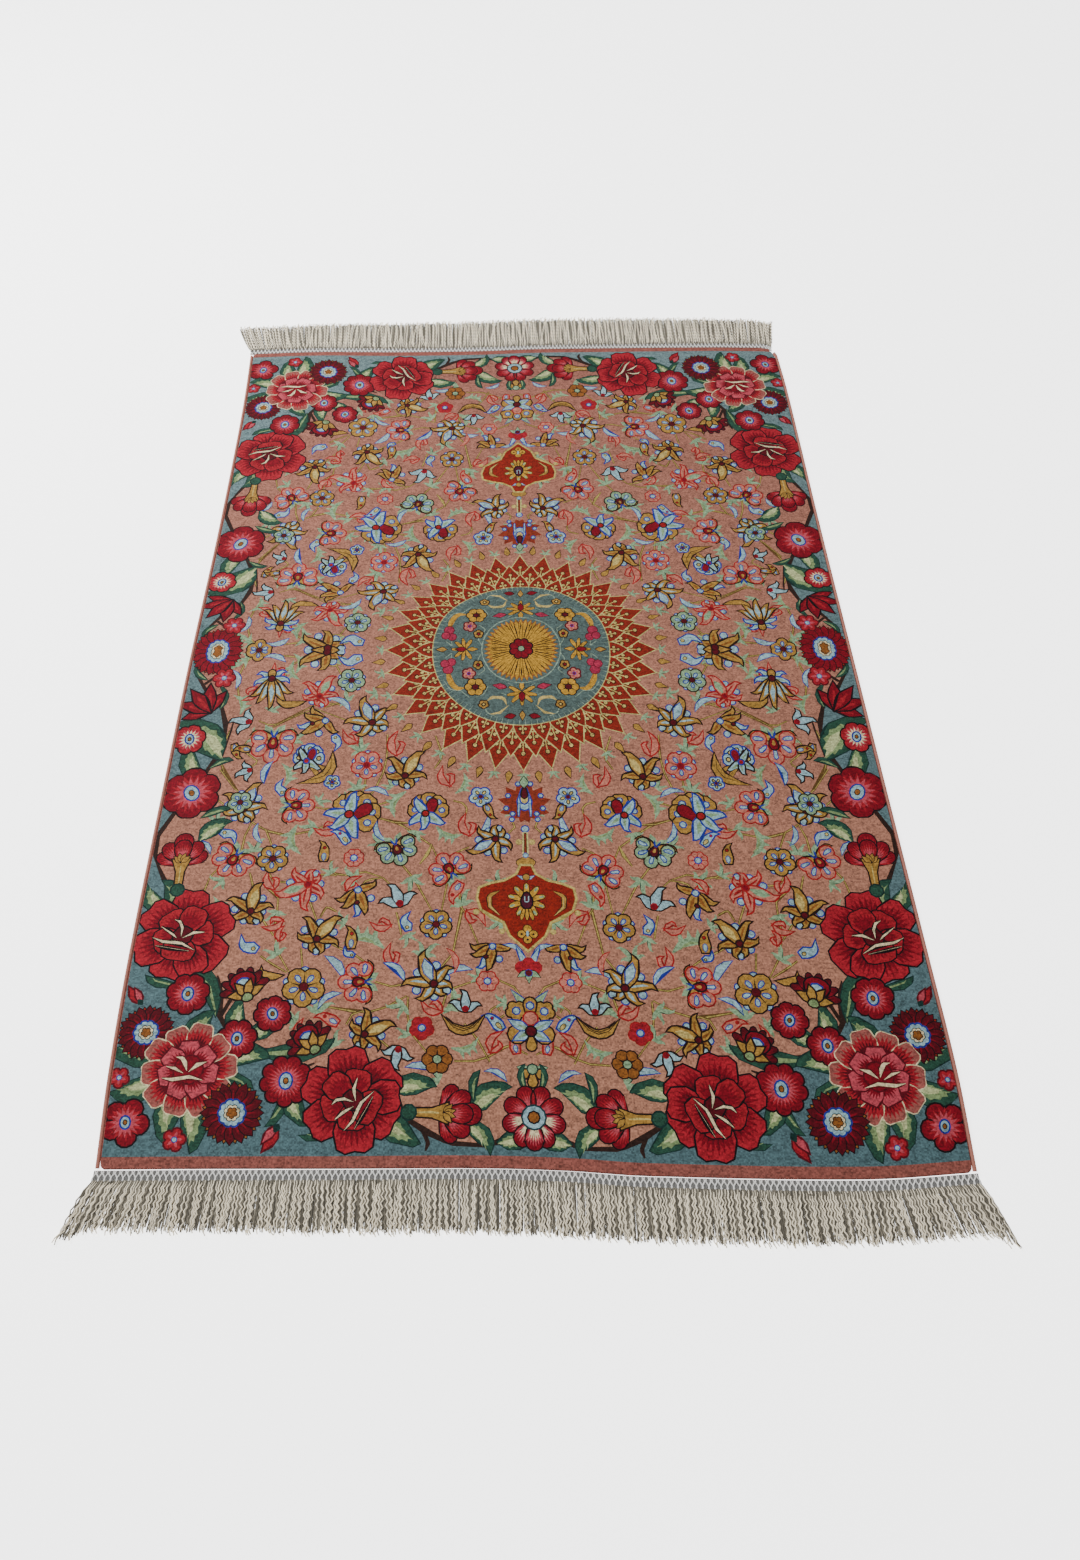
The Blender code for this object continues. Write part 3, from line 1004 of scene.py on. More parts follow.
LEAVES = (
    # kind, x, y, size, turn, bend
    ("leaf", -358, -338, 44, 12, -0.3),
    ("leaf", -374, -332, 36, 52, 0.3),
    ("slim_leaf", -305, -448, 66, 12, -0.45),
    ("slim_leaf", -262, -484, 74, -92, -0.22),
    ("leaf", -348, -480, 52, 100, 0.2),
    ("leaf", -352, -510, 44, 118, 0.25),
    ("leaf", -333, -522, 46, 158, -0.3),
    ("leaf", -322, -530, 46, -158, 0.25),
    ("leaf", -296, -488, 46, -80, 0.2),
    ("slim_leaf", -300, -505, 40, -98, 0.2),
    ("leaf", -330, -478, 42, -22, 0.2),
    ("leaf", -284, -466, 36, 8, 0.25),
    ("leaf", -272, -468, 34, -66, -0.3),
    ("leaf", -132, -520, 40, -72, 0.25),
    ("leaf", -142, -540, 46, -140, -0.2),
    ("leaf", -58, -540, 42, -42, 0.3),
    ("slim_leaf", -56, -530, 28, 5, 0.3),
    ("leaf", -62, -552, 32, -120, 0.4),
    ("slim_leaf", -6, -520, 22, 30, 0.5),
    ("leaf", -34, -568, 34, -84, -0.2),
    ("leaf", -366, -172, 44, 28, 0.2),
    ("slim_leaf", -352, -158, 26, -52, 0.3),
    ("slim_leaf", -352, -82, 30, -18, -0.5),
    ("leaf", -350, -250, 38, -38, 0.3),
    ("slim_leaf", -352, -222, 32, -58, 0.2),
    ("slim_leaf", -374, -40, 24, 60, 0.3),
    ("leaf", -342, -148, 70, 32, -0.35),
    ("slim_leaf", -346, -414, 34, 88, 0.25),
    ("slim_leaf", -232, -522, 34, 170, 0.3),
    ("leaf", -228, -520, 36, 196, -0.2),
    ("slim_leaf", -186, -552, 30, 130, 0.4),
)

BORDER = (
    # flower, its own settings, x, y, turn
    (pink_bud, (12,), -386, -425, 40),
    (pink_bud, (14,), -243, -564, 150),
    (rose, (49,), -349, -361, 0),
    (anemone, (21, 7), -335, -424, 0),
    (aster, (27, 16, "wine", "flame"), -370, -463, 0),
    (anemone, (19, 7), -282, -470, 0),
    (anemone, (18, 7), -250, -445, 20),
    (cup_flower, (19,), -281, -415, 20),
    (cup_flower, (18,), -214, -470, 35),
    (anemone, (24, 9), -232, -511, 0),
    (frilled_rose, (45,), -325, -500, 15),
    (aster, (29, 16), -280, -541, 0),
    (anemone, (22, 5, RED_PETALS, 0.24), -378, -549, 10),
    (little_flower, (10,), -389, -507, 0),
    (little_flower, (11,), -331, -565, 20),
    (rose, (47,), -168, -529, 72),
    (trumpet, (27,), -85, -542, -92),
    (aster, (30, 17, "crimson", "flame"), -368, -3, 0),
    (little_flower, (14, 6, "rose"), -354, -38, 0),
    (tulip, (24,), -375, -72, 40),
    (anemone, (18, 6, ("rose", "pink", "cream")), -381, -122, 15),
    (anemone, (32, 6), -367, -190, 30),
    (trumpet, (27,), -364, -278, 2),
    (front_flower, (29,), 0, -545, 0),
)


# ------------------------------------------------------------------------ the medallion

HEARTS = 32
HEART_TIP = 162.0
DISC = 107.0
SUN = 43.0
HEART = (
    # right half of a heart that points up, as shares of its width and height
    (0.0, 1.0), (0.14, 0.84), (0.33, 0.64), (0.47, 0.42), (0.5, 0.24),
    (0.42, 0.07), (0.27, 0.0), (0.12, 0.06), (0.06, 0.2),
)


TREFOIL = ((-0.15, 0.36), (0.15, 0.36), (0.0, 0.56))


def heart(width, height):
    right = [complex(x * width, y * height) for x, y in HEART]
    left = [complex(-p.real, p.imag) for p in right[:0:-1]]
    return right + left


def heart_patches(width, height):
    """A red heart with a pale line round it and a small pale trefoil inside."""
    patches = lined("lime", "hearts", heart(width, height), 1.2)
    stem = stroke([0.16j * height, 0.5j * height], 1.6, 1.0, 0.7, 2)
    leaves = [ring(0.085 * width, 8, complex(x * width, y * height)) for x, y in TREFOIL]
    patches += [("bark", grow(leaf_shape, 0.9)) for leaf_shape in leaves]
    patches.append(("straw", stem))
    patches += [("straw", leaf_shape) for leaf_shape in leaves]
    return patches


OVER_THE_AXES = 25.0  # how far a copy may stand past the quarter that is charted


def around(count, radius, patches, first=0.5):
    """Copies of a motif round the middle of the design, pointing outwards."""
    placed = []
    for i in range(count):
        way = 360.0 * (i + first) / count
        at = ahead(radius, way)
        if max(at.real, at.imag) < OVER_THE_AXES:
            placed += set_in(patches, way, at)
    return placed


def sunburst():
    """The round medallion: three rings of hearts round a flowered disc with a sun in it."""
    patches = around(HEARTS, HEART_TIP + 3, lined("bark", "gold", blade(15, 7.5, 0, 0.38), 0.9), 0.5)
    twig = [("lime", stroke([-6j, 8j], 1.3, 0.8, 0.8, 3))] + set_in(sprig(7), 0, 10j)
    patches += around(HEARTS, HEART_TIP, twig, 0.0)
    patches.append(("lime", ring(DISC + 22, 64)))
    patches.append(("hearts", ring(DISC + 20.6, 64)))
    patches += around(HEARTS, HEART_TIP - 45, heart_patches(27.8, 46), 0.0)
    patches += around(HEARTS, DISC + 3, heart_patches(25.0, 36), 0.5)
    patches += around(HEARTS, DISC - 4, heart_patches(20.6, 26), 0.0)
    patches.append(("lime", ring(DISC + 1, 96)))
    patches.append(("disc", ring(DISC, 96)))
    ray = [("pale_teal", [-0.5 + 0j, 0.5 + 0j, -9j])]
    patches += around(96, DISC, ray)
    patches += disc_flowers()
    patches.append(("pale_teal", ring(SUN + 5.5, 48)))
    patches.append(("disc", ring(SUN + 4.4, 48)))
    patches.append(("amber", star(44, SUN + 3, SUN - 3)))
    patches.append(("sun", star(44, SUN + 1.5, SUN - 7)))
    long_ray = [("bark", blade(27, 2.3, 0, 0.4, 4))]
    short_ray = [("bark", blade(14, 2.0, 0, 0.5, 4))]
    patches += around(40, 13, long_ray)
    patches += around(40, 26, short_ray, 0.0)
    patches += lined("ink", "crimson", lobed(14, 8, 0.22, 5))
    for i in range(8):
        patches.append(("wine", turned(blade(11, 2, 0, 0.5, 4), 45 * i)))
    patches += lined("ink", "mint", ring(3.6, 8), 1.0)
    return patches


def gold_palmette(size):
    """A small gold lotus on the disc."""
    patches = []
    for turn in (120, -120, 80, -80, 42, -42, 0):
        shape = turned(petal(size, 0.34 * size, 0, 9), turn, -0.1j * size)
        patches += lined("bark", "sun", shape, 0.8)
    patches += lined("bark", "crimson", turned(blade(0.8 * size, 0.4 * size), 0, -0.2j * size), 0.8)
    return patches + lined("bark", "sun", turned(blade(0.8 * size, 0.34 * size), 180, -0.3j * size), 0.8)


def disc_flowers():
    """What grows on the disc between the sun and the rays, in the front left quarter."""
    patches = []
    for path in (
        (-48 - 6j, -52 - 16j, -44 - 28j, -52 - 36j),
        (-16 - 48j, -8 - 56j, -14 - 66j, -24 - 62j),
        (-30 - 96j, -42 - 88j, -40 - 72j, -26 - 70j),
        (-62 - 68j, -72 - 58j, -84 - 56j, -92 - 44j),
        (-92 - 12j, -84 - 6j, -86 - 18j),
        (-40 - 52j, -44 - 62j, -56 - 68j),
    ):
        patches.append(("pale_teal", stroke(path, 1.3, 0.5, 0.4)))
    patches.append(("sun", stroke((-85 - 22j, -87 - 38j, -78 - 54j, -66 - 54j), 7, 0.1, 0.1)))
    patches.append(("amber", stroke((-83 - 24j, -85 - 38j, -77 - 51j), 1.5, 0.2, 0.2)))
    patches.append(("straw", stroke((-42 - 74j, -34 - 68j, -22 - 70j, -18 - 80j), 4.5, 0.1, 0.1)))
    patches.append(("straw", stroke((-16 - 80j, -26 - 90j, -38 - 92j), 3.5, 0.1, 0.1)))
    for at, size in ((-88 - 28j, 6), (-84 - 18j, 5), (-92 - 20j, 5)):
        patches += lined("wine", "magenta", ring(size, 8, at), 0.9)
    patches += set_in(little_flower(8, 5, "blush", "crimson"), 20, -63 - 34j)
    patches += set_in(plain_rosette(6, "gold", "bark", "straw", "bark", 5), 0, -45 - 78j)
    patches += set_in(plain_rosette(6, "gold", "bark", "crimson", "bark", 5), 0, -52 - 22j)
    patches += set_in(lined("bark", "magenta", blade(17, 8), 0.9), 78, -18 - 54j)
    patches += set_in(lined("bark", "crimson", blade(13, 7), 0.9), 100, -8 - 94j)
    patches += set_in(plain_rosette(14, "sun", "bark", "wine", "bark"), 0, -55 - 53j)
    patches += set_in(gold_palmette(18), 180, -64j)
    patches += set_in(gold_palmette(16), 90, -70 + 0j)
    patches += set_in(lined("bark", "gold", blade(13, 6), 0.9), 90, -90 + 0j)
    return patches + set_in(lined("bark", "gold", blade(13, 6), 0.9), 180, -88j)


# ---------------------------------------------------------- what stands on the long axis

PENDANT = (
    # left edge of the red pendant, from its neck down to its tip
    (-5, -283), (-9, -293), (-22, -301), (-40, -305), (-48, -309), (-50, -320),
    (-46, -333), (-34, -343), (-23, -347), (-22, -352), (-17, -362), (-8, -371), (0, -378),
)


def mirrored(path):
    """A closed outline from its left half, which starts and ends near the long axis."""
    left = [complex(x, y) for x, y in path]
    return left + [complex(-p.real, p.imag) for p in reversed(left) if p.real < 0]


def axis_ornaments():
    """The flame palmette, the stalk and the red pendant, then the flowers below them."""
    patches = []
    for turn in (20, 55, 90, 125, 155, -20, -55, -90, -125, -155, 180):
        shape = blade(29 if abs(turn) < 140 else 24, 12, 0.2 * (1 if turn > 0 else -1), 0.55)
        patches.append(("flame_deep", turned(shape, turn, -206j)))
    patches.append(("flame_deep", ring(17, 12, -208j)))
    for x, y in ((-18, -196), (-20, -212), (-14, -226), (-7, -181), (-13, -219)):
        patches += berry("royal", "sky", 2.2, complex(x, y), 6)
        patches += berry("royal", "sky", 2.2, complex(-x, y), 6)
    patches += lined("royal", "sky", turned(petal(28, 17), 180, -186j))
    patches += lined("royal", "straw", turned(petal(18, 10), 180, -188j))
    patches += lined("bark", "wine", turned(petal(13, 7, 0, 10), 180, -186j))
    for x in (-6, 6):
        patches += lined("royal", "sky", stroke((x - 206j, x * 1.1 - 222j), 2.2, 0.8, 0.3, 3), 0.8)
    patches += lined("bark", "mint", turned(blade(15, 9), 0, -186j), 0.6)
    patches += berry("royal", "sky", 3.6, -238j)
    patches.append(("lime", stroke((-242j, -285j), 7.0, 0.8, 1.0, 3)))
    patches.append(("bark", stroke((-243j, -270j), 3.6, 0.8, 0.8, 3)))
    patches.append(("flame_deep", stroke((-244j, -268j), 2.2, 0.8, 0.8, 3)))
    for x in (-7, 7):
        patches += lined("olive", "straw", ring(2.8, 8, x - 254j), 0.8)
    patches += lined("bark", "gold", turned(blade(16, 20, 0, 0.4), 180, -272j), 0.8)
    patches += lined("royal", "sky", ring(2.6, 7, -270j), 0.8)
    body = mirrored(PENDANT)
    patches.append(("olive", grow(body, 2.8)))
    patches.append(("straw", grow(body, 2.0)))
    patches.append(("olive", grow(body, 0.6)))
    patches.append(("flame", body))
    for side in (-1, 1):
        arch = [(-28 - 312j), (-38 - 318j), (-38 - 330j), (-28 - 340j)]
        arch = [complex(side * -p.real, p.imag) for p in arch]
        patches.append(("bark", stroke(arch, 6.4, 0.2, 0.2)))
        patches.append(("gold", stroke(arch, 4.2, 0.1, 0.1)))
        patches.append(("straw", stroke(arch[1:], 1.6, 0.2, 0.2)))
        patches += lined("royal", "sky", turned(blade(10, 3.2), side * 62, -299j), 0.6)
        patches += lined("olive", "straw", ring(2.6, 8, complex(side * 52, -336)), 0.8)
        patches += lined("olive", "straw", ring(2.4, 8, complex(side * 26, -358)), 0.8)
    patches += lined("bark", "gold", ring(3.6, 8, -296j), 0.8)
    for turn in (150, -150, 112, -112, 75, -75, 38, -38, 0):
        shape = turned(petal(20, 7.5, 0, 10), turn, -323j)
        patches += lined("bark", "sun", shape, 0.8)
        patches.append(("mint", turned(petal(6, 3.4, 0, 7), turn, -323j + ahead(13, turn))))
    patches += lined("ink", "plum", turned(petal(18, 13, 0, 12), 180, -314j))
    patches.append(("sky", stroke((-2 - 318j, -2 - 324j, 2 - 324j, 2 - 318j), 1.2, 1, 1, 3)))
    for x in (-6, 0, 6):
        patches += lined("bark", "sun", stroke((x / 2 - 333j, x - 345j), 4, 0.5, 0.3, 3), 0.7)
    for at in (-355j, -6 - 361j, 6 - 361j, -367j):
        patches += lined("bark", "sun", ring(4.2, 9, at), 0.8)
    patches.append(("sky", turned(petal(7, 3.6, 0, 8), 0, -364j)))
    for at in (-6 - 361j, 6 - 361j, -367j):
        patches.append(("ink", ring(1.3, 6, at)))
    patches += axis_flowers()
    return patches


def axis_flowers():
    """The small flowers between the pendant and the end border."""
    patches = []
    for turn in (58, -58):
        horn = blade(25, 6, math.copysign(0.15, turn), 0.4)
        patches += lined("royal", "sky", turned(horn, turn / 1.6, -397j), 0.9)
    for at in (-393j, -7 - 397j, 7 - 397j, -400j):
        patches += lined("coral", "rose", ring(6, 9, at), 0.9)
    for turn in (120, -120, 180):
        patches += lined("bark", "mint", turned(blade(13, 6), turn, -401j), 0.7)
    patches += lined("royal", "wine", ring(3.4, 8, -403j), 0.8)
    for turn in (66, -66):
        patches += lined("royal", "mint", turned(blade(26, 7, 0.1, 0.4), turn * 0.75, -440j), 0.8)
        at = -446j + ahead(14, turn * 1.15)
        patches += lined("bark", "gold", lobed_at(10, at))
        patches += berry("royal", "sky", 3.2, at, 7)
        patches += lined("bark", "gold", ring(9, 10, complex(math.copysign(13, -turn), -466)))
    patches += lined("bark", "gold", turned(petal(19, 14), 0, -448j))
    patches += berry("royal", "sky", 3.2, -437j, 7)
    patches += lined("coral", "blush", ring(6.5, 9, -450j))
    for turn in (62, -62, 118, -118):
        long = 24 if abs(turn) < 90 else 20
        shape = turned(blade(long, 9, 0, 0.5), turn, -463j)
        patches += lined("royal", "sky", shape, 0.9)
        patches.append(("mint", turned(blade(long * 0.75, 4, 0, 0.5, 4), turn, -463j)))
    patches += lined("bark", "gold", turned(petal(14, 11), 180, -468j))
    patches += lined("ink", "wine", ring(4.6, 9, -463j))
    for turn in (75, -75):
        patches += lined("spruce", "mint", turned(blade(15, 7), turn, -502j), 0.5)
    for turn in (95, -95, 180):
        patches += lined("bark", "gold", turned(petal(13, 10, 0, 10), turn, -504j))
    return patches + berry("spruce", "mint", 4.5, -500j)


def lobed_at(radius, at):
    return [at + p for p in lobed(radius, 5, 0.25, 4)]


# ------------------------------------------------------------------- the whole chart

HALF_WIDTH = 400.0
HALF_LENGTH = 590.0
SIDE_CORD = 4.3  # the side cord and the gap to it, which the pile stops short of
BAND = 10.0
CORNER_RADIUS = 6.0
STRETCH = 20.0  # no straight stretch of the cloth's outline is longer
BEYOND = 9.0  # how far a ground reaches past the quarter that it is cut to
FIELD_SHARE = 0.97
LONG_SPRAY = 12  # a spray larger than this is one long leaf


def run(start, stop):
    """Points from start up to stop, but without it, close enough together to bend."""
    count = math.ceil(abs(stop - start) / STRETCH)
    return [start + (stop - start) * i / count for i in range(count)]


def quarter_ground():
    """The ground colours of the front left quarter: end band, border and field."""
    edge = -(HALF_WIDTH - SIDE_CORD)
    low = -HALF_LENGTH
    centre = complex(edge + CORNER_RADIUS, low + CORNER_RADIUS)
    cut = [centre + cmath.rect(CORNER_RADIUS, math.pi + math.pi / 8 * i) for i in range(4)]
    whole = run(complex(edge, 0), complex(edge, low + CORNER_RADIUS)) + cut
    whole += run(complex(edge + CORNER_RADIUS, low), complex(0, low))
    whole += run(complex(0, low), 0j) + run(0j, complex(edge, 0))
    band_top = low + BAND
    aside, beneath = edge - BEYOND, low - BEYOND
    border = [complex(aside, BEYOND), complex(aside, band_top), complex(BEYOND, band_top)]
    border += smooth(BORDER_VINE, 4)[::-1]
    band = [complex(aside, band_top), complex(aside, beneath)]
    band += [complex(BEYOND, beneath), complex(BEYOND, band_top)]
    return [("field", whole), ("teal", border), ("brick", band)]


def spray(size):
    return long_sprig(size * 0.8) if size > LONG_SPRAY else sprig(size)


def chart():
    """Every patch of the front left quarter, from the ground up."""
    patches = quarter_ground()
    for path in VINES:
        patches.append(("moss", stroke(path, 2.7, 0.9, 0.7, 3)))
        patches.append(("olive", stroke(path, 1.1, 0.8, 0.6, 3)))
    for x, y, size, turn in SPRIGS:
        patches += set_in(spray(size), turn, complex(x, y))
    for name, tint, x, y, size, turn in FIELD:
        patches += set_in(MOTIFS[name](size * FIELD_SHARE, tint), turn, complex(x, y))
    patches += set_in(bell(24), 5, -296 - 52j)
    patches += set_in(plain_rosette(13, "blush", "coral", "sky", "royal", 8), 0, -182 - 272j)
    patches += set_in(plain_rosette(12, "blush", "coral", "sky", "royal"), 0, -41 - 412j)
    patches += set_in(plain_rosette(12, "rose", "coral", "sky", "royal", 5), 0, -105 - 460j)
    patches += set_in(plain_rosette(16, "amber", "bark", "mint", "bark"), 0, -90 - 491j)
    patches += sunburst()
    patches += axis_ornaments()
    for path in BRANCHES:
        patches.append(("vine", stroke(path, 4.0, 0.9, 0.4)))
    patches.append(("vine", stroke(BORDER_VINE, 5.0, 1.0, 1.0)))
    for kind, x, y, size, turn, bend in LEAVES:
        make = leaf if kind == "leaf" else slim_leaf
        patches += set_in(make(size, bend), turn, complex(x, y))
    for flower, settings, x, y, turn in BORDER:
        patches += set_in(flower(*settings), turn, complex(x, y))
    return patches


# --------------------------------------------------------------------------------- dyes
# Red, green and blue out of 255, before the light of the room falls on them.

DYES = {
    "field": (182, 127, 103), "teal": (82, 110, 115), "brick": (152, 88, 78), "disc": (84, 102, 99),
    "ink": (24, 12, 18), "bark": (38, 20, 16), "vine": (50, 32, 26), "wine": (90, 10, 24),
    "crimson": (128, 11, 30), "rose": (162, 30, 42), "pink": (190, 74, 86), "coral_rim": (168, 32, 46),
    "old_rose": (160, 88, 80), "cream": (232, 214, 170), "blush": (196, 118, 100),
    "coral": (158, 28, 30), "gold": (172, 130, 60), "amber": (142, 86, 36),
    "straw": (200, 176, 104), "sun": (192, 144, 52), "sky": (152, 186, 194),
    "royal": (34, 48, 146), "mint": (138, 168, 130), "moss": (100, 72, 34),
    "olive": (176, 158, 84), "lime": (194, 186, 118), "flame": (140, 34, 20),
    "flame_deep": (132, 48, 28), "hearts": (136, 38, 24), "leaf": (42, 78, 62),
    "spruce": (20, 50, 46), "pale_leaf": (132, 154, 104), "cream_leaf": (190, 196, 142),
    "teal_dark": (30, 56, 62), "pale_teal": (140, 160, 140), "magenta": (165, 44, 72),
    "plum": (76, 18, 38), "back": (160, 130, 116),
    "net": (240, 238, 234), "fringe": (246, 234, 208), "cord": (186, 120, 104),
}
FAR_GROUNDS = {
    # the colours that the grounds turn into, little by little, towards the back end: the field darker and
    # redder, the teal lighter
    "field": (160, 104, 90),
    "teal": (112, 134, 136),
}
DYE_NAMES = sorted(DYES)


def linear(colour):
    """A colour out of 255, as the amounts of light that a shader works with."""
    return Vector([((part / 255 + 0.055) / 1.055) ** 2.4 for part in colour])


# ------------------------------------------------------------------ how the rug really lies

MIDDLE = complex(-1.917, 9.150)  # on the loom, the middle of the whole rug, fringes included

ALONG_COLUMNS = ("chart", "rug")
ALONG_STATIONS = (
    (-590.0, -590.0),
    (-165.0, -165.0),
    (-110.0, -104.0),
    (-43.0, -35.0),
    (0.0, 12.0),
    (43.0, 57.0),
    (110.0, 114.0),
    (165.0, 167.0),
    (590.0, 590.0),
)
SIDE_COLUMNS = ("y", "left", "right")
SIDE_STATIONS = (
    (-590.0, -402.0, 403.0),
    (-500.0, -407.0, 407.5),
    (-380.0, -409.0, 407.0),
    (-200.0, -407.0, 405.5),
    (0.0, -404.0, 404.0),
    (200.0, -398.5, 402.5),
    (400.0, -396.0, 402.5),
    (500.0, -396.5, 402.0),
    (590.0, -399.0, 399.0),
)
END_COLUMNS = ("x", "front", "back")
END_STATIONS = (
    (-400.0, -590.0, 582.0),
    (-300.0, -589.3, 587.0),
    (-180.0, -589.0, 586.0),
    (-50.0, -588.3, 588.0),
    (30.0, -590.5, 592.5),
    (100.0, -595.0, 594.0),
    (300.0, -598.0, 596.5),
    (400.0, -592.0, 595.0),
)
FAR_RIGHT_RADIUS = 22.0  # the one corner that is clearly rounded


class Wander:
    """A smooth curve through one column of a table of stations."""

    def __init__(self, stations, columns, name):
        column = columns.index(name)
        self.at = [row[0] for row in stations]
        self.value = [row[column] for row in stations]
        last = len(stations) - 1
        self.slope = []
        for k in range(last + 1):
            before, after = max(k - 1, 0), min(k + 1, last)
            rise = self.value[after] - self.value[before]
            self.slope.append(rise / (self.at[after] - self.at[before]))

    def read(self, at):
        at = min(max(at, self.at[0]), self.at[-1])
        i = min(bisect.bisect_right(self.at, at), len(self.at) - 1) - 1
        low, high = self.value[i], self.value[i + 1]
        span = self.at[i + 1] - self.at[i]
        t = (at - self.at[i]) / span
        rise = low + (high - low) * t * t * (3 - 2 * t)
        return rise + span * t * (1 - t) * ((1 - t) * self.slope[i] - t * self.slope[i + 1])


LEFT = Wander(SIDE_STATIONS, SIDE_COLUMNS, "left")
RIGHT = Wander(SIDE_STATIONS, SIDE_COLUMNS, "right")
FRONT = Wander(END_STATIONS, END_COLUMNS, "front")
BACK = Wander(END_STATIONS, END_COLUMNS, "back")
ALONG = Wander(ALONG_STATIONS, ALONG_COLUMNS, "rug")


def tucked(x, y):
    """The point drawn in where it is in the rounded corner at the back on the right."""
    centre = complex(HALF_WIDTH - FAR_RIGHT_RADIUS, HALF_LENGTH - FAR_RIGHT_RADIUS)
    out = complex(x, y) - centre
    if min(out.real, out.imag) <= 0.0:
        return x, y
    drawn = centre + out * max(out.real, out.imag) / abs(out)
    return drawn.real, drawn.imag


def lie(x, y):
    """Where a point of the straight rug lies, seen from the middle of the whole rug."""
    x, y = tucked(x, y)
    left, right = LEFT.read(y), RIGHT.read(y)
    front, back = FRONT.read(x), BACK.read(x)
    across = (x + HALF_WIDTH) / (2 * HALF_WIDTH)
    along = (y + HALF_LENGTH) / (2 * HALF_LENGTH)
    return complex(left + (right - left) * across, front + (back - front) * along) - MIDDLE


def end_edge(end, x, beyond):
    """A point that far beyond the cloth's end, at x across it."""
    away = END_ROWS[end]["away"]
    return lie(x, away * HALF_LENGTH) + 1j * away * beyond


# ----------------------------------------------------------------------------- finishes


class Value:
    """What a node gives, to be reckoned with in plain expressions."""

    def __init__(self, finish, socket):
        self.finish = finish
        self.socket = socket

    def reckon(self, operation, first, second):
        settings = {"operation": operation}
        return self.finish.node("ShaderNodeMath", settings, {0: first, 1: second})

    def __add__(self, other):
        return self.reckon("ADD", self, other)

    def __radd__(self, other):
        return self.reckon("ADD", other, self)

    def __mul__(self, other):
        return self.reckon("MULTIPLY", self, other)

    def __rmul__(self, other):
        return self.reckon("MULTIPLY", other, self)


class Finish:
    """One material while its nodes are joined up."""

    def __init__(self, name, fixed=None):
        self.material = bpy.data.materials.new(name)
        self.material.use_nodes = True
        self.shader = self.material.node_tree.nodes["Principled BSDF"]
        for socket, value in (fixed or {}).items():
            self.shader.inputs[socket].default_value = value

    def node(self, kind, settings=None, sockets=None, output=0):
        """What a new node gives. Its settings are set before its sockets' values and links."""
        made = self.material.node_tree.nodes.new(kind)
        for name, value in (settings or {}).items():
            setattr(made, name, value)
        for name, value in (sockets or {}).items():
            self.feed(made.inputs[name], value)
        return Value(self, made.outputs[output])

    def feed(self, socket, value):
        if isinstance(value, Value):
            self.material.node_tree.links.new(value.socket, socket)
        else:
            socket.default_value = value

    def place(self, *scale):
        """The point on the piece, with each of its axes scaled."""
        point = self.node("ShaderNodeTexCoord", output="Object")
        settings = {"operation": "MULTIPLY"}
        return self.node("ShaderNodeVectorMath", settings, {0: point, 1: scale})

    def noise(self, scale, detail=2.0):
        """Smooth noise from 0 to 1, at so many lumps a metre along each axis."""
        sockets = {"Vector": self.place(*scale), "Scale": 1.0, "Detail": detail}
        return self.node("ShaderNodeTexNoise", None, sockets, "Fac")

    def toned(self, colour, tone):
        """A colour made lighter or darker by a number."""
        settings = {"data_type": "RGBA", "blend_type": "MULTIPLY"}
        sockets = {"Factor": 1.0, "A": colour, "B": tone}
        made = self.node("ShaderNodeMix", settings)
        node = made.socket.node
        for name, value in sockets.items():
            self.feed([s for s in node.inputs if s.name == name and s.enabled][0], value)
        return Value(self, [s for s in node.outputs if s.enabled][0])

    def wear(self, colour=None, roughness=None, height=None, relief=0.0, strength=0.5):
        """Joins what varies over the surface to the shader."""
        if colour is not None:
            self.feed(self.shader.inputs["Base Color"], colour)
        if roughness is not None:
            self.feed(self.shader.inputs["Roughness"], roughness)
        if height is not None:
            sockets = {"Height": height, "Distance": relief * MM, "Strength": strength}
            bump = self.node("ShaderNodeBump", None, sockets, "Normal")
            self.feed(self.shader.inputs["Normal"], bump)
        return self.material


KNOT = 1.4  # how wide and long one knot of the pile is


def knotted_silk():
    """Dyed silk pile: each knot of its own tone, faint rows, abrash with painted sheen in soft patches,
    and a soft shine.
    """
    finish = Finish("knotted_silk", {"Sheen Weight": 0.03, "Specular IOR Level": 0.1})
    dye = finish.node("ShaderNodeAttribute", {"attribute_name": "dye"}, output="Color")
    step = (KNOT * MM, KNOT * MM, 1.0)
    point = finish.node("ShaderNodeTexCoord", output="Object")
    knot = finish.node("ShaderNodeVectorMath", {"operation": "SNAP"}, {0: point, 1: step})
    speckle = finish.node("ShaderNodeTexWhiteNoise", None, {"Vector": knot}, "Value")
    # mottle and cloud: abrash of the dyes together with painted sheen of the silk, in lighter and darker
    # patches
    mottle_and_sheen = finish.noise((230.0, 420.0, 0.0), 3.0)
    rows = finish.noise((9.0, 300.0, 0.0), 1.0)
    bands = finish.noise((0.6, 16.0, 0.0), 1.0)
    cloud_and_sheen = finish.noise((90.0, 190.0, 0.0), 2.0)
    tone = -0.4 + 0.46 * speckle + 0.93 * mottle_and_sheen + 0.62 * cloud_and_sheen + 0.08 * rows + 0.18 * bands
    rough = 0.6 + 0.25 * mottle_and_sheen
    return finish.wear(finish.toned(dye, tone), rough, speckle * 0.5 + mottle_and_sheen, 0.5, 0.35)


def overcast_silk():
    finish = Finish("overcast_silk", {"Specular IOR Level": 0.2})
    thread = finish.noise((300.0, 900.0, 300.0), 2.0)
    patchy = finish.noise((3.0, 30.0, 3.0), 2.0)
    colour = (*linear(DYES["cord"]), 1.0)
    tone = 0.46 + 0.38 * thread + 0.23 * patchy
    return finish.wear(finish.toned(colour, tone), 0.5 + 0.2 * thread, thread, 0.3)


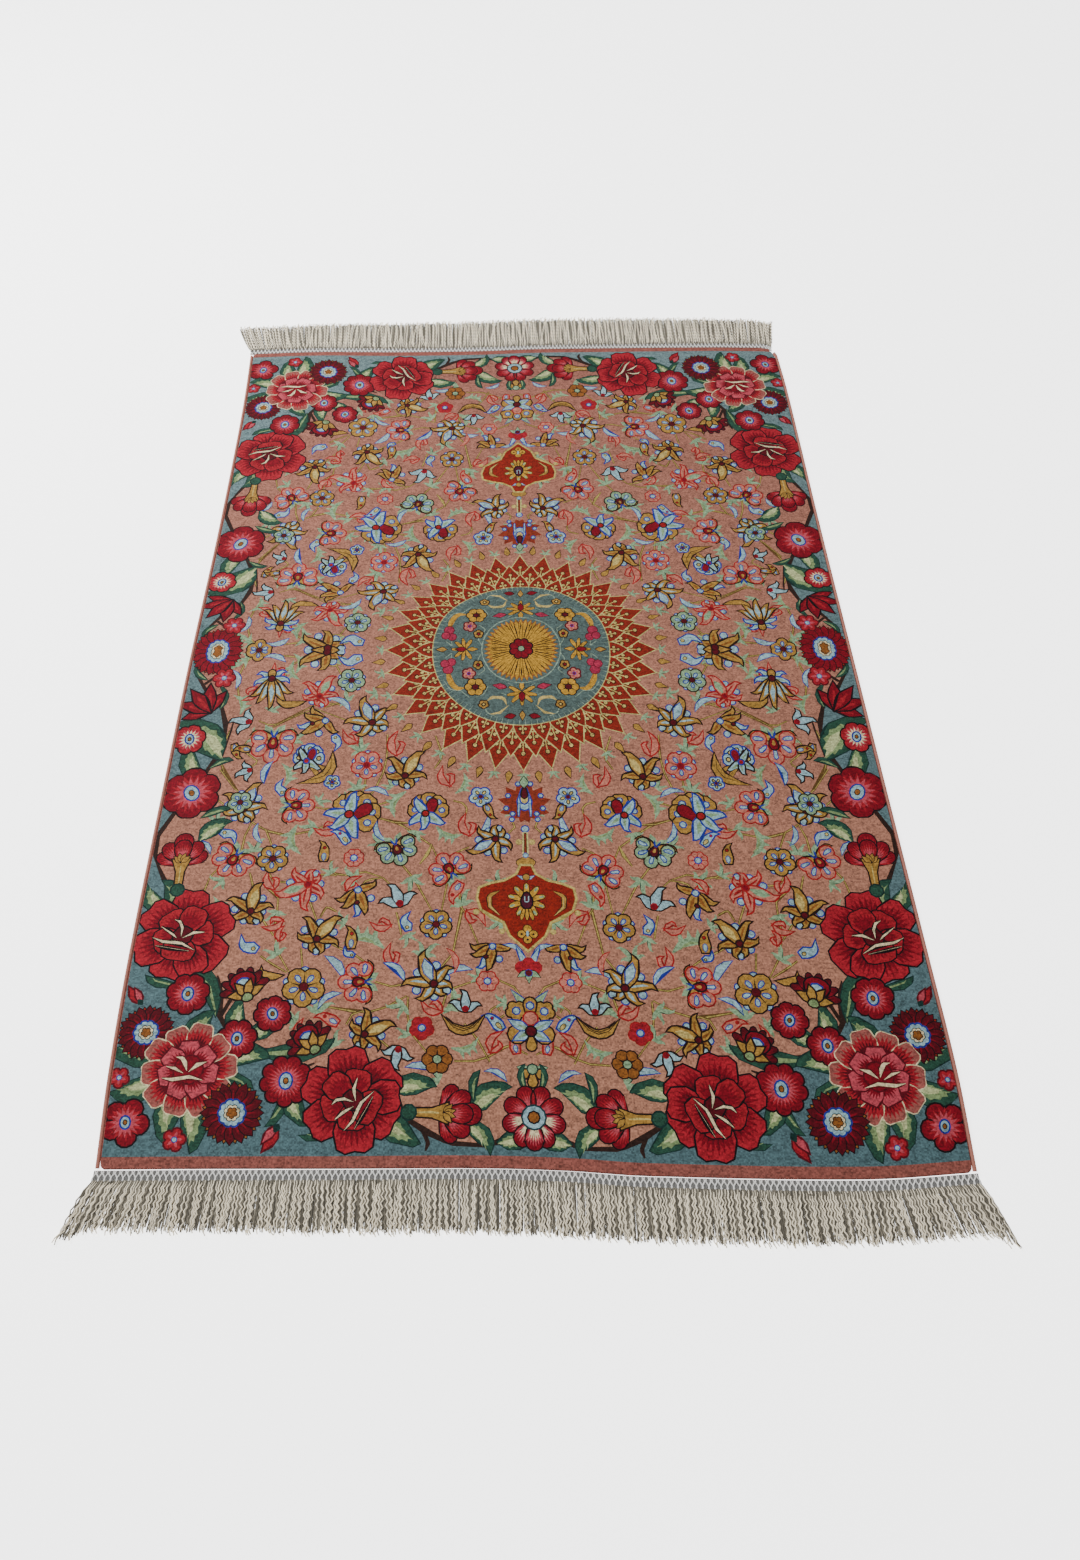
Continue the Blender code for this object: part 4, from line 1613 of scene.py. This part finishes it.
def white_net():
    finish = Finish("white_net", {"Specular IOR Level": 0.2, "Sheen Weight": 0.1})
    # tone: full on the net itself, and low on the warps under it, painted dark as the net's shade
    layer = finish.node("ShaderNodeAttribute", {"attribute_name": "tone"}, output="Fac")
    fibre = finish.noise((900.0, 900.0, 900.0), 2.0)
    colour = (*linear(DYES["net"]), 1.0)
    tone = layer * (0.8 + 0.3 * fibre)
    return finish.wear(finish.toned(colour, tone), 0.75 + 0.1 * fibre, fibre, 0.2)


def cream_fringe():
    finish = Finish("cream_fringe", {"Specular IOR Level": 0.2, "Sheen Weight": 0.1})
    # tone: each strand's painted shade, darker in the lower layers, times its own random tone
    layer = finish.node("ShaderNodeAttribute", {"attribute_name": "tone"}, output="Fac")
    fibre = finish.noise((900.0, 400.0, 900.0), 2.0)
    patchy = finish.noise((60.0, 20.0, 0.0), 2.0)
    colour = (*linear(DYES["fringe"]), 1.0)
    tone = layer * (0.86 + 0.26 * fibre + 0.26 * patchy)
    return finish.wear(finish.toned(colour, tone), 0.6 + 0.2 * fibre, fibre, 0.25)


FLOOR_GLOW = 3.0


def pale_floor():
    finish = Finish(
        "pale_floor",
        {
            "Base Color": (0.9, 0.9, 0.9, 1.0),
            "Emission Color": (1.0, 1.0, 1.0, 1.0),
            "Emission Strength": FLOOR_GLOW,
            "Specular IOR Level": 0.1,
        },
    )
    grain = finish.noise((40.0, 40.0, 40.0), 1.0)
    return finish.wear(roughness=0.85 + 0.1 * grain)


# ------------------------------------------------------------------------------- pieces


def add_piece(name, mesh, finish, node):
    """A finished mesh as the piece that stands for a node of the rug."""
    mesh.materials.clear()
    mesh.materials.append(finish)
    piece = bpy.data.objects.new(name, mesh)
    bpy.context.scene.collection.objects.link(piece)
    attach(piece, "root")
    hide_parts(node)
    return piece


def as_mesh(bm, name):
    mesh = bpy.data.meshes.new(name)
    bm.to_mesh(mesh)
    bm.free()
    return mesh


PILE = 4.0  # how high the pile stands above the floor
BAND_HEIGHT = 3.1
WAVE = 0.3
ROUNDED = 0.9
RIM = (
    # the rug's edge, from the pile down: how far in from the side, and its share of the height
    (0.0, 0.8),
    (0.0, 0.2),
    (0.5, 0.0),
)
WELD = 0.02
STRAIGHTENED = 22  # degrees: a bend of an outline that is slighter is left out
CUT_EDGES = (
    # an edge between points that is longer than this, and how many times it is cut to bend
    (60.0, 12),
    (26.0, 1),
)
BAND_STEP = 0.9  # how far past its own edge the lower end band begins


def anticlockwise(outline):
    area = sum((a.conjugate() * b).imag for a, b in zip(outline, outline[1:] + outline[:1]))
    return outline if area > 0 else outline[::-1]


def inlay(bm, patches):
    """Lays the patches of a quarter side by side, and shows only the topmost dye."""
    points, faces = [], []
    for _, outline in patches:
        faces.append(list(range(len(points), len(points) + len(outline))))
        points += [Vector((point.real, point.imag)) for point in anticlockwise(outline)]
    spots, _, cells, _, _, covers = delaunay_2d_cdt(points, [], faces, 1, WELD, True)
    verts = [bm.verts.new((*spot, PILE)) for spot in spots]
    for cell, cover in zip(cells, covers):
        if 0 in cover:
            face = bm.faces.new([verts[i] for i in cell])
            face.material_index = DYE_NAMES.index(patches[max(cover)][0])
    loose = [v for v in bm.verts if not v.link_faces]
    bmesh.ops.delete(bm, geom=loose, context="VERTS")
    bmesh.ops.dissolve_limit(
        bm,
        angle_limit=math.radians(STRAIGHTENED),
        use_dissolve_boundaries=False,
        verts=bm.verts[:],
        edges=bm.edges[:],
        delimit={"MATERIAL"},
    )
    for longest, cuts in CUT_EDGES:
        long_edges = [e for e in bm.edges if e.calc_length() > longest]
        bmesh.ops.bisect_edges(bm, edges=long_edges, cuts=cuts)
    bmesh.ops.triangulate(bm, faces=bm.faces[:])


def in_four(bm):
    """Mirrors the quarter to the right and then to the back."""
    for axis in "XY":
        whole = bm.verts[:] + bm.edges[:] + bm.faces[:]
        bmesh.ops.mirror(bm, geom=whole, axis=axis, merge_dist=WELD)


def side_faces(bm):
    """Rounds the rim over, brings the sides down to the floor and closes the underside."""
    edge = HALF_WIDTH - SIDE_CORD
    bmesh.ops.scale(
        bm, vec=(1 - ROUNDED / edge, 1 - ROUNDED / HALF_LENGTH, 1), verts=bm.verts
    )
    rim = [e for e in bm.edges if e.is_boundary]
    inward = ROUNDED
    for inset, share in RIM:
        geom = bmesh.ops.extrude_edge_only(bm, edges=rim)["geom"]
        ring_verts = [v for v in geom if isinstance(v, bmesh.types.BMVert)]
        rim = [e for e in geom if isinstance(e, bmesh.types.BMEdge) and e.is_boundary]
        wider = (edge - inset) / (edge - inward)
        longer = (HALF_LENGTH - inset) / (HALF_LENGTH - inward)
        bmesh.ops.scale(bm, vec=(wider, longer, 0), verts=ring_verts)
        bmesh.ops.translate(bm, vec=(0, 0, share * PILE), verts=ring_verts)
        inward = inset
    return bmesh.ops.contextual_create(bm, geom=rim)["faces"]


def height_at(x, y):
    """How high the pile is, as a share: a slight wave, and lower plain bands at the ends."""
    wave = math.sin(x / 67 + 1.3 * math.sin(y / 140)) * math.sin(y / 83 + 0.9 * math.cos(x / 110))
    top = PILE - WAVE * (0.5 + 0.5 * wave)
    if abs(y) > HALF_LENGTH - BAND + BAND_STEP:
        top = min(top, BAND_HEIGHT)
    return top / PILE


LAYOUT_SPAN = 1200.0  # what the bake layout is wide and high, in the rug's own measure
LAYOUT_EDGE = 0.005
UNDERSIDE_AT, UNDERSIDE_SHARE = 0.7, 0.4


def bake_place(x, y, below):
    """Where a point of the cloth lies in the bake layout, with the underside small beside it."""
    u, v = (x + HALF_WIDTH) / LAYOUT_SPAN, (y + HALF_LENGTH) / LAYOUT_SPAN
    if below:
        return UNDERSIDE_AT + u * UNDERSIDE_SHARE, v * UNDERSIDE_SHARE
    return LAYOUT_EDGE + u, LAYOUT_EDGE + v


def pile():
    """The knotted pile and its plain end bands, as one flat piece."""
    bm = bmesh.new()
    inlay(bm, chart())
    in_four(bm)
    tops = len(bm.faces)
    under = side_faces(bm)
    bm.faces.ensure_lookup_table()
    for i in range(tops, len(bm.faces)):
        bm.faces[i].material_index = DYE_NAMES.index("brick")
    for face in under:
        face.material_index = DYE_NAMES.index("back")
    bmesh.ops.triangulate(bm, faces=under)
    bmesh.ops.recalc_face_normals(bm, faces=bm.faces)
    near = [linear(DYES[name]) for name in DYE_NAMES]
    far = [linear(FAR_GROUNDS.get(name, DYES[name])) for name in DYE_NAMES]
    dye = bm.loops.layers.float_color.new("dye")
    layout = bm.loops.layers.uv.new("OFBake")
    for face in bm.faces:
        a, b = near[face.material_index], far[face.material_index]
        below = face.normal.z < -0.5
        for loop in face.loops:
            x, y, _ = loop.vert.co
            loop[dye] = (*a.lerp(b, (y + HALF_LENGTH) / (2 * HALF_LENGTH)), 1.0)
            loop[layout].uv = bake_place(x, y, below)
        face.material_index = 0
    for vert in bm.verts:
        x, y, z = vert.co
        at = lie(x, ALONG.read(y))
        vert.co = (at.real * MM, at.imag * MM, z * height_at(x, y) * MM)
    return add_piece("pile", as_mesh(bm, "pile"), knotted_silk(), "rug_body")


TONES = 25  # how many steps there are from black to the full tone of a strand


def tubes(name, paths, radius, sides, shades_and_tones=None):
    """A mesh of round strands. Each path is a list of points with a share of the radius."""
    curve = bpy.data.curves.new(name, "CURVE")
    curve.dimensions = "3D"
    curve.bevel_depth = radius * MM
    curve.bevel_resolution = (sides - 4) // 2
    curve.use_fill_caps = True
    for _ in range(TONES + 1):
        curve.materials.append(None)
    for path, tone in zip(paths, shades_and_tones or [1.0] * len(paths)):
        line = curve.splines.new("POLY")
        line.material_index = round(TONES * tone)
        line.points.add(len(path) - 1)
        for point, (x, y, z, share) in zip(line.points, path):
            point.co = (x * MM, y * MM, z * MM, 1.0)
            point.radius = share
    holder = bpy.data.objects.new(name, curve)
    mesh = bpy.data.meshes.new_from_object(holder)
    bpy.data.objects.remove(holder)
    bpy.data.curves.remove(curve)
    shade_strands(mesh)
    close_ends(mesh)
    mesh.shade_smooth()
    return mesh


def close_ends(mesh):
    """Joins the caps of the strands to their sides."""
    bm = bmesh.new()
    bm.from_mesh(mesh)
    bmesh.ops.remove_doubles(bm, verts=bm.verts, dist=0.001 * MM)
    bmesh.ops.recalc_face_normals(bm, faces=bm.faces)
    bm.to_mesh(mesh)
    bm.free()


def shade_strands(mesh):
    """Gives each strand its own tone, which holds its painted shade, and then one finish to them all."""
    shade = mesh.color_attributes.new("tone", "FLOAT_COLOR", "POINT")
    colours = [1.0] * (4 * len(mesh.vertices))
    for face in mesh.polygons:
        tone = face.material_index / TONES
        for i in face.vertices:
            colours[4 * i : 4 * i + 3] = (tone, tone, tone)
        face.material_index = 0
    shade.data.foreach_set("color", colours)
    mesh.materials.clear()


CORD_RADIUS = 2.12
WRAP = 1.7  # from one turn of the overcasting to the next
WAIST = 0.93  # the share of the radius between two turns
CORD_ENDS = {"left": (-588.5, 584.0), "right": (-588.5, 578.0)}


def selvedge(side):
    """The bound edge: a cord overcast with silk, turn beside turn."""
    x = (HALF_WIDTH - CORD_RADIUS) * (1 if side == "right" else -1)
    low, high = CORD_ENDS[side]
    count = int((high - low) / WRAP)
    path = []
    for i in range(2 * count + 1):
        y = low + (high - low) * i / (2 * count)
        at = lie(x, y)
        path.append((at.real, at.imag, CORD_RADIUS, WAIST if i % 2 else 1.0))
    mesh = tubes("selvedge_" + side, [path], CORD_RADIUS, 8)
    return add_piece("bound_side_" + side, mesh, FINISHES["cord"], "selvedge_" + side)


# Each end: which way it points, the fringe's length, how far its corners fan out, how much
# its length wanders and grows at the corners, and the points along a thread
END_ROWS = {
    "front": {
        "away": -1, "fringe": 47.0, "fan_left": 20.0, "fan_right": 21.0,
        "belly": 2.0, "corner": 9.0, "points": 14,
    },
    "back": {
        "away": 1, "fringe": 64.0, "fan_left": 24.0, "fan_right": 8.0,
        "belly": 5.0, "corner": 0.0, "points": 18,
    },
}
HEADING_HALF = 401.0
HEADING_KNOTS = 144
NET_RADIUS = 0.72
PITCH = 2 * HEADING_HALF / HEADING_KNOTS
NET_HEIGHT = 1.45
NET_SHARE = 0.95
WARP_HEIGHT = 0.8
WARP_START, WARP_STEP = 0.4, 1.4
WARPS_A_KNOT = 4
WARP_TONE = 0.22  # the warps under the net lie in its shade


def net_point(end, x, beyond, z, share=1.0):
    at = end_edge(end, x, beyond)
    return (at.real, at.imag, z, share)


NET_STEPS = (
    # how far beyond the cloth, how far aside in shares of a mesh, and its share of the radius
    (0.4, 0.36, 0.9),
    (1.7, 0.3, 0.9),
    (3.0, 0.1, 1.5),
    (4.2, 0.42, 0.95),
    (6.0, 0.86, 0.95),
    (7.4, 1.0, 1.1),
    (8.8, 0.96, 1.6),
    (10.4, 1.0, 0.9),
)


def heading(end):
    """The net that the warps are knotted into: small knots, and rows of holes between them."""
    paths = []
    for i in range(HEADING_KNOTS):
        x = -HEADING_HALF + PITCH * (i + 0.5)
        for side in (-0.5, 0.5):
            paths.append([
                net_point(end, x + side * aside * PITCH, beyond, NET_HEIGHT, NET_SHARE * share)
                for beyond, aside, share in NET_STEPS
            ])
    net = len(paths)
    steps = [WARP_START + WARP_STEP * k for k in range(len(NET_STEPS))]
    for i in range(WARPS_A_KNOT * HEADING_KNOTS):
        x = -HEADING_HALF + PITCH * (i + 0.5) / WARPS_A_KNOT
        paths.append([net_point(end, x, beyond, WARP_HEIGHT) for beyond in steps])
    shades_and_tones = [1.0] * net + [WARP_TONE] * (len(paths) - net)
    mesh = tubes("heading_" + end, paths, NET_RADIUS, 6, shades_and_tones)
    return add_piece("net_" + end, mesh, FINISHES["net"], "heading_" + end)


STRAND_RADIUS = 0.85
FRINGE_START = 9.4
NET_LEVEL = 1.3  # how high a thread leaves the net
# How many threads lie in each layer of the fringe and how high, their thickness and length
# as shares, how far they zigzag, how loosely they lie, and how light they are: the lower
# layers are painted dark, as painted shade where they lie under the top threads
LAYER_COLUMNS = ("threads", "height", "thick", "reach", "crimp", "loose", "tone")
LAYERS = tuple(
    dict(zip(LAYER_COLUMNS, row))
    for row in (
        (420, 1.0, 1.4, 0.94, 0.2, 0.0, 0.12),
        (290, 1.6, 0.9, 0.97, 0.8, 0.9, 0.32),
        (300, 2.15, 0.95, 1.0, 1.3, 1.0, 1.0),
    )
)


def strand(end, x, layer, chance):
    """One crimped thread of the fringe, lying on the floor."""
    row = END_ROWS[end]
    side = "right" if x > 0 else "left"
    corner = abs(x / HALF_WIDTH)
    lean = math.copysign(row["fan_" + side], x) * corner**6 + chance.gauss(0, 2.2) * layer["loose"]
    length = row["fringe"] + row["belly"] * math.sin(1.3 + x / 190.0) - 5.0 * chance.random()
    length = length * layer["reach"] + row["corner"] * max(0.0, corner - 0.96) / 0.04
    crimp = layer["crimp"] * (0.5 + 0.4 * chance.random())
    sway = chance.gauss(0, 1.2) * layer["loose"]
    curl = chance.gauss(0, 2.4) * layer["loose"]
    start = 6.0 * chance.random()
    path = []
    last = row["points"] - 1
    for i in range(last + 1):
        t = i / last
        loose = min(1.0, 5.0 * t)
        wave = loose * crimp * (1 if i % 2 else -1) * (0.7 + 0.5 * chance.random())
        aside = lean * t**0.8 + sway * math.sin(3.0 * t + start) * loose + curl * t**5
        z = NET_LEVEL + (layer["height"] - NET_LEVEL + 0.35 * math.sin(start + 5 * t)) * loose
        z = max(z, STRAND_RADIUS * layer["thick"])
        share = layer["thick"] * (1.0 - 0.4 * t**8)
        path.append(net_point(end, x + wave + aside, FRINGE_START + length * t, z, share))
    return path


def fringe(end):
    """The loose warps that hang from the net, in layers painted darker towards the floor as painted shade.
    """
    chance = random.Random("fringe " + end)
    paths, shades_and_tones = [], []
    for layer in LAYERS:
        step = 2 * HEADING_HALF / layer["threads"]
        for i in range(layer["threads"]):
            x = -HEADING_HALF + step * (i + 0.3 + 0.4 * chance.random())
            paths.append(strand(end, x, layer, chance))
            # each strand: its layer's painted shade, times a random tone of its own
            shades_and_tones.append(layer["tone"] * (0.86 + 0.14 * chance.random()))
    mesh = tubes("fringe_" + end, paths, STRAND_RADIUS, 4, shades_and_tones)
    return add_piece("strands_" + end, mesh, FINISHES["fringe"], "fringe_" + end)


FINISHES = {"cord": overcast_silk(), "net": white_net(), "fringe": cream_fringe()}


def rug():
    """Every piece of the rug."""
    sewn_on = [selvedge("left"), selvedge("right")]
    for end in END_ROWS:
        sewn_on += [heading(end), fringe(end)]
    cloth = pile()


# ------------------------------------------------------------------------------ the room

FLOOR = 12.0  # metres
SKY = 0.55
KEY = 76.0
KEY_AT = (-1.5, 1.0, 1.7)
KEY_SIZE = 0.9


def floor():
    bm = bmesh.new()
    bmesh.ops.create_grid(bm, x_segments=1, y_segments=1, size=FLOOR / 2)
    mesh = as_mesh(bm, "floor")
    mesh.materials.append(pale_floor())
    plane = bpy.data.objects.new("floor", mesh)
    bpy.context.scene.collection.objects.link(plane)


def light():
    """Soft light from all round, and a lamp at the back on the left that models the threads."""
    world = bpy.data.worlds.new("pale_room")
    world.use_nodes = True
    sky = world.node_tree.nodes["Background"]
    sky.inputs["Color"].default_value = (1.0, 1.0, 1.0, 1.0)
    sky.inputs["Strength"].default_value = SKY
    bpy.context.scene.world = world
    lamp = bpy.data.lights.new("key", "AREA")
    lamp.size = KEY_SIZE
    lamp.energy = KEY
    holder = bpy.data.objects.new("key", lamp)
    holder.location = KEY_AT
    holder.rotation_euler = (-Vector(KEY_AT)).to_track_quat("-Z", "Y").to_euler()
    bpy.context.scene.collection.objects.link(holder)


# The photograph's view, in its pixels: its size, middle and focal length. Then where the
# camera stands, in metres, and how it is turned
PHOTO_WIDE, PHOTO_HIGH = 1080, 1560
PHOTO_MIDDLE = (479, 780)
PHOTO_FOCUS = 999.2
STAND = (-0.0461, -0.7654, 0.967)
DOWN, YAW, ROLL = math.radians(58.89), math.radians(-0.32), math.radians(-0.31)
SENSOR = 36.0


def camera():
    data = bpy.data.cameras.new("photo_view")
    data.sensor_width = SENSOR
    data.lens = PHOTO_FOCUS / PHOTO_HIGH * SENSOR
    data.shift_x = (PHOTO_WIDE / 2 - PHOTO_MIDDLE[0]) / PHOTO_HIGH
    look = Vector((math.sin(YAW) * math.cos(DOWN), math.cos(YAW) * math.cos(DOWN), -math.sin(DOWN)))
    level = Vector((math.cos(YAW), -math.sin(YAW), 0.0))
    across = level * math.cos(ROLL) + level.cross(look) * math.sin(ROLL)
    up = across.cross(look)
    turn = Matrix((across, up, -look)).transposed().to_4x4()
    holder = bpy.data.objects.new("photo_view", data)
    holder.matrix_world = Matrix.Translation(STAND) @ turn
    bpy.context.scene.collection.objects.link(holder)
    bpy.context.scene.camera = holder


camera()
light()
floor()
rug()
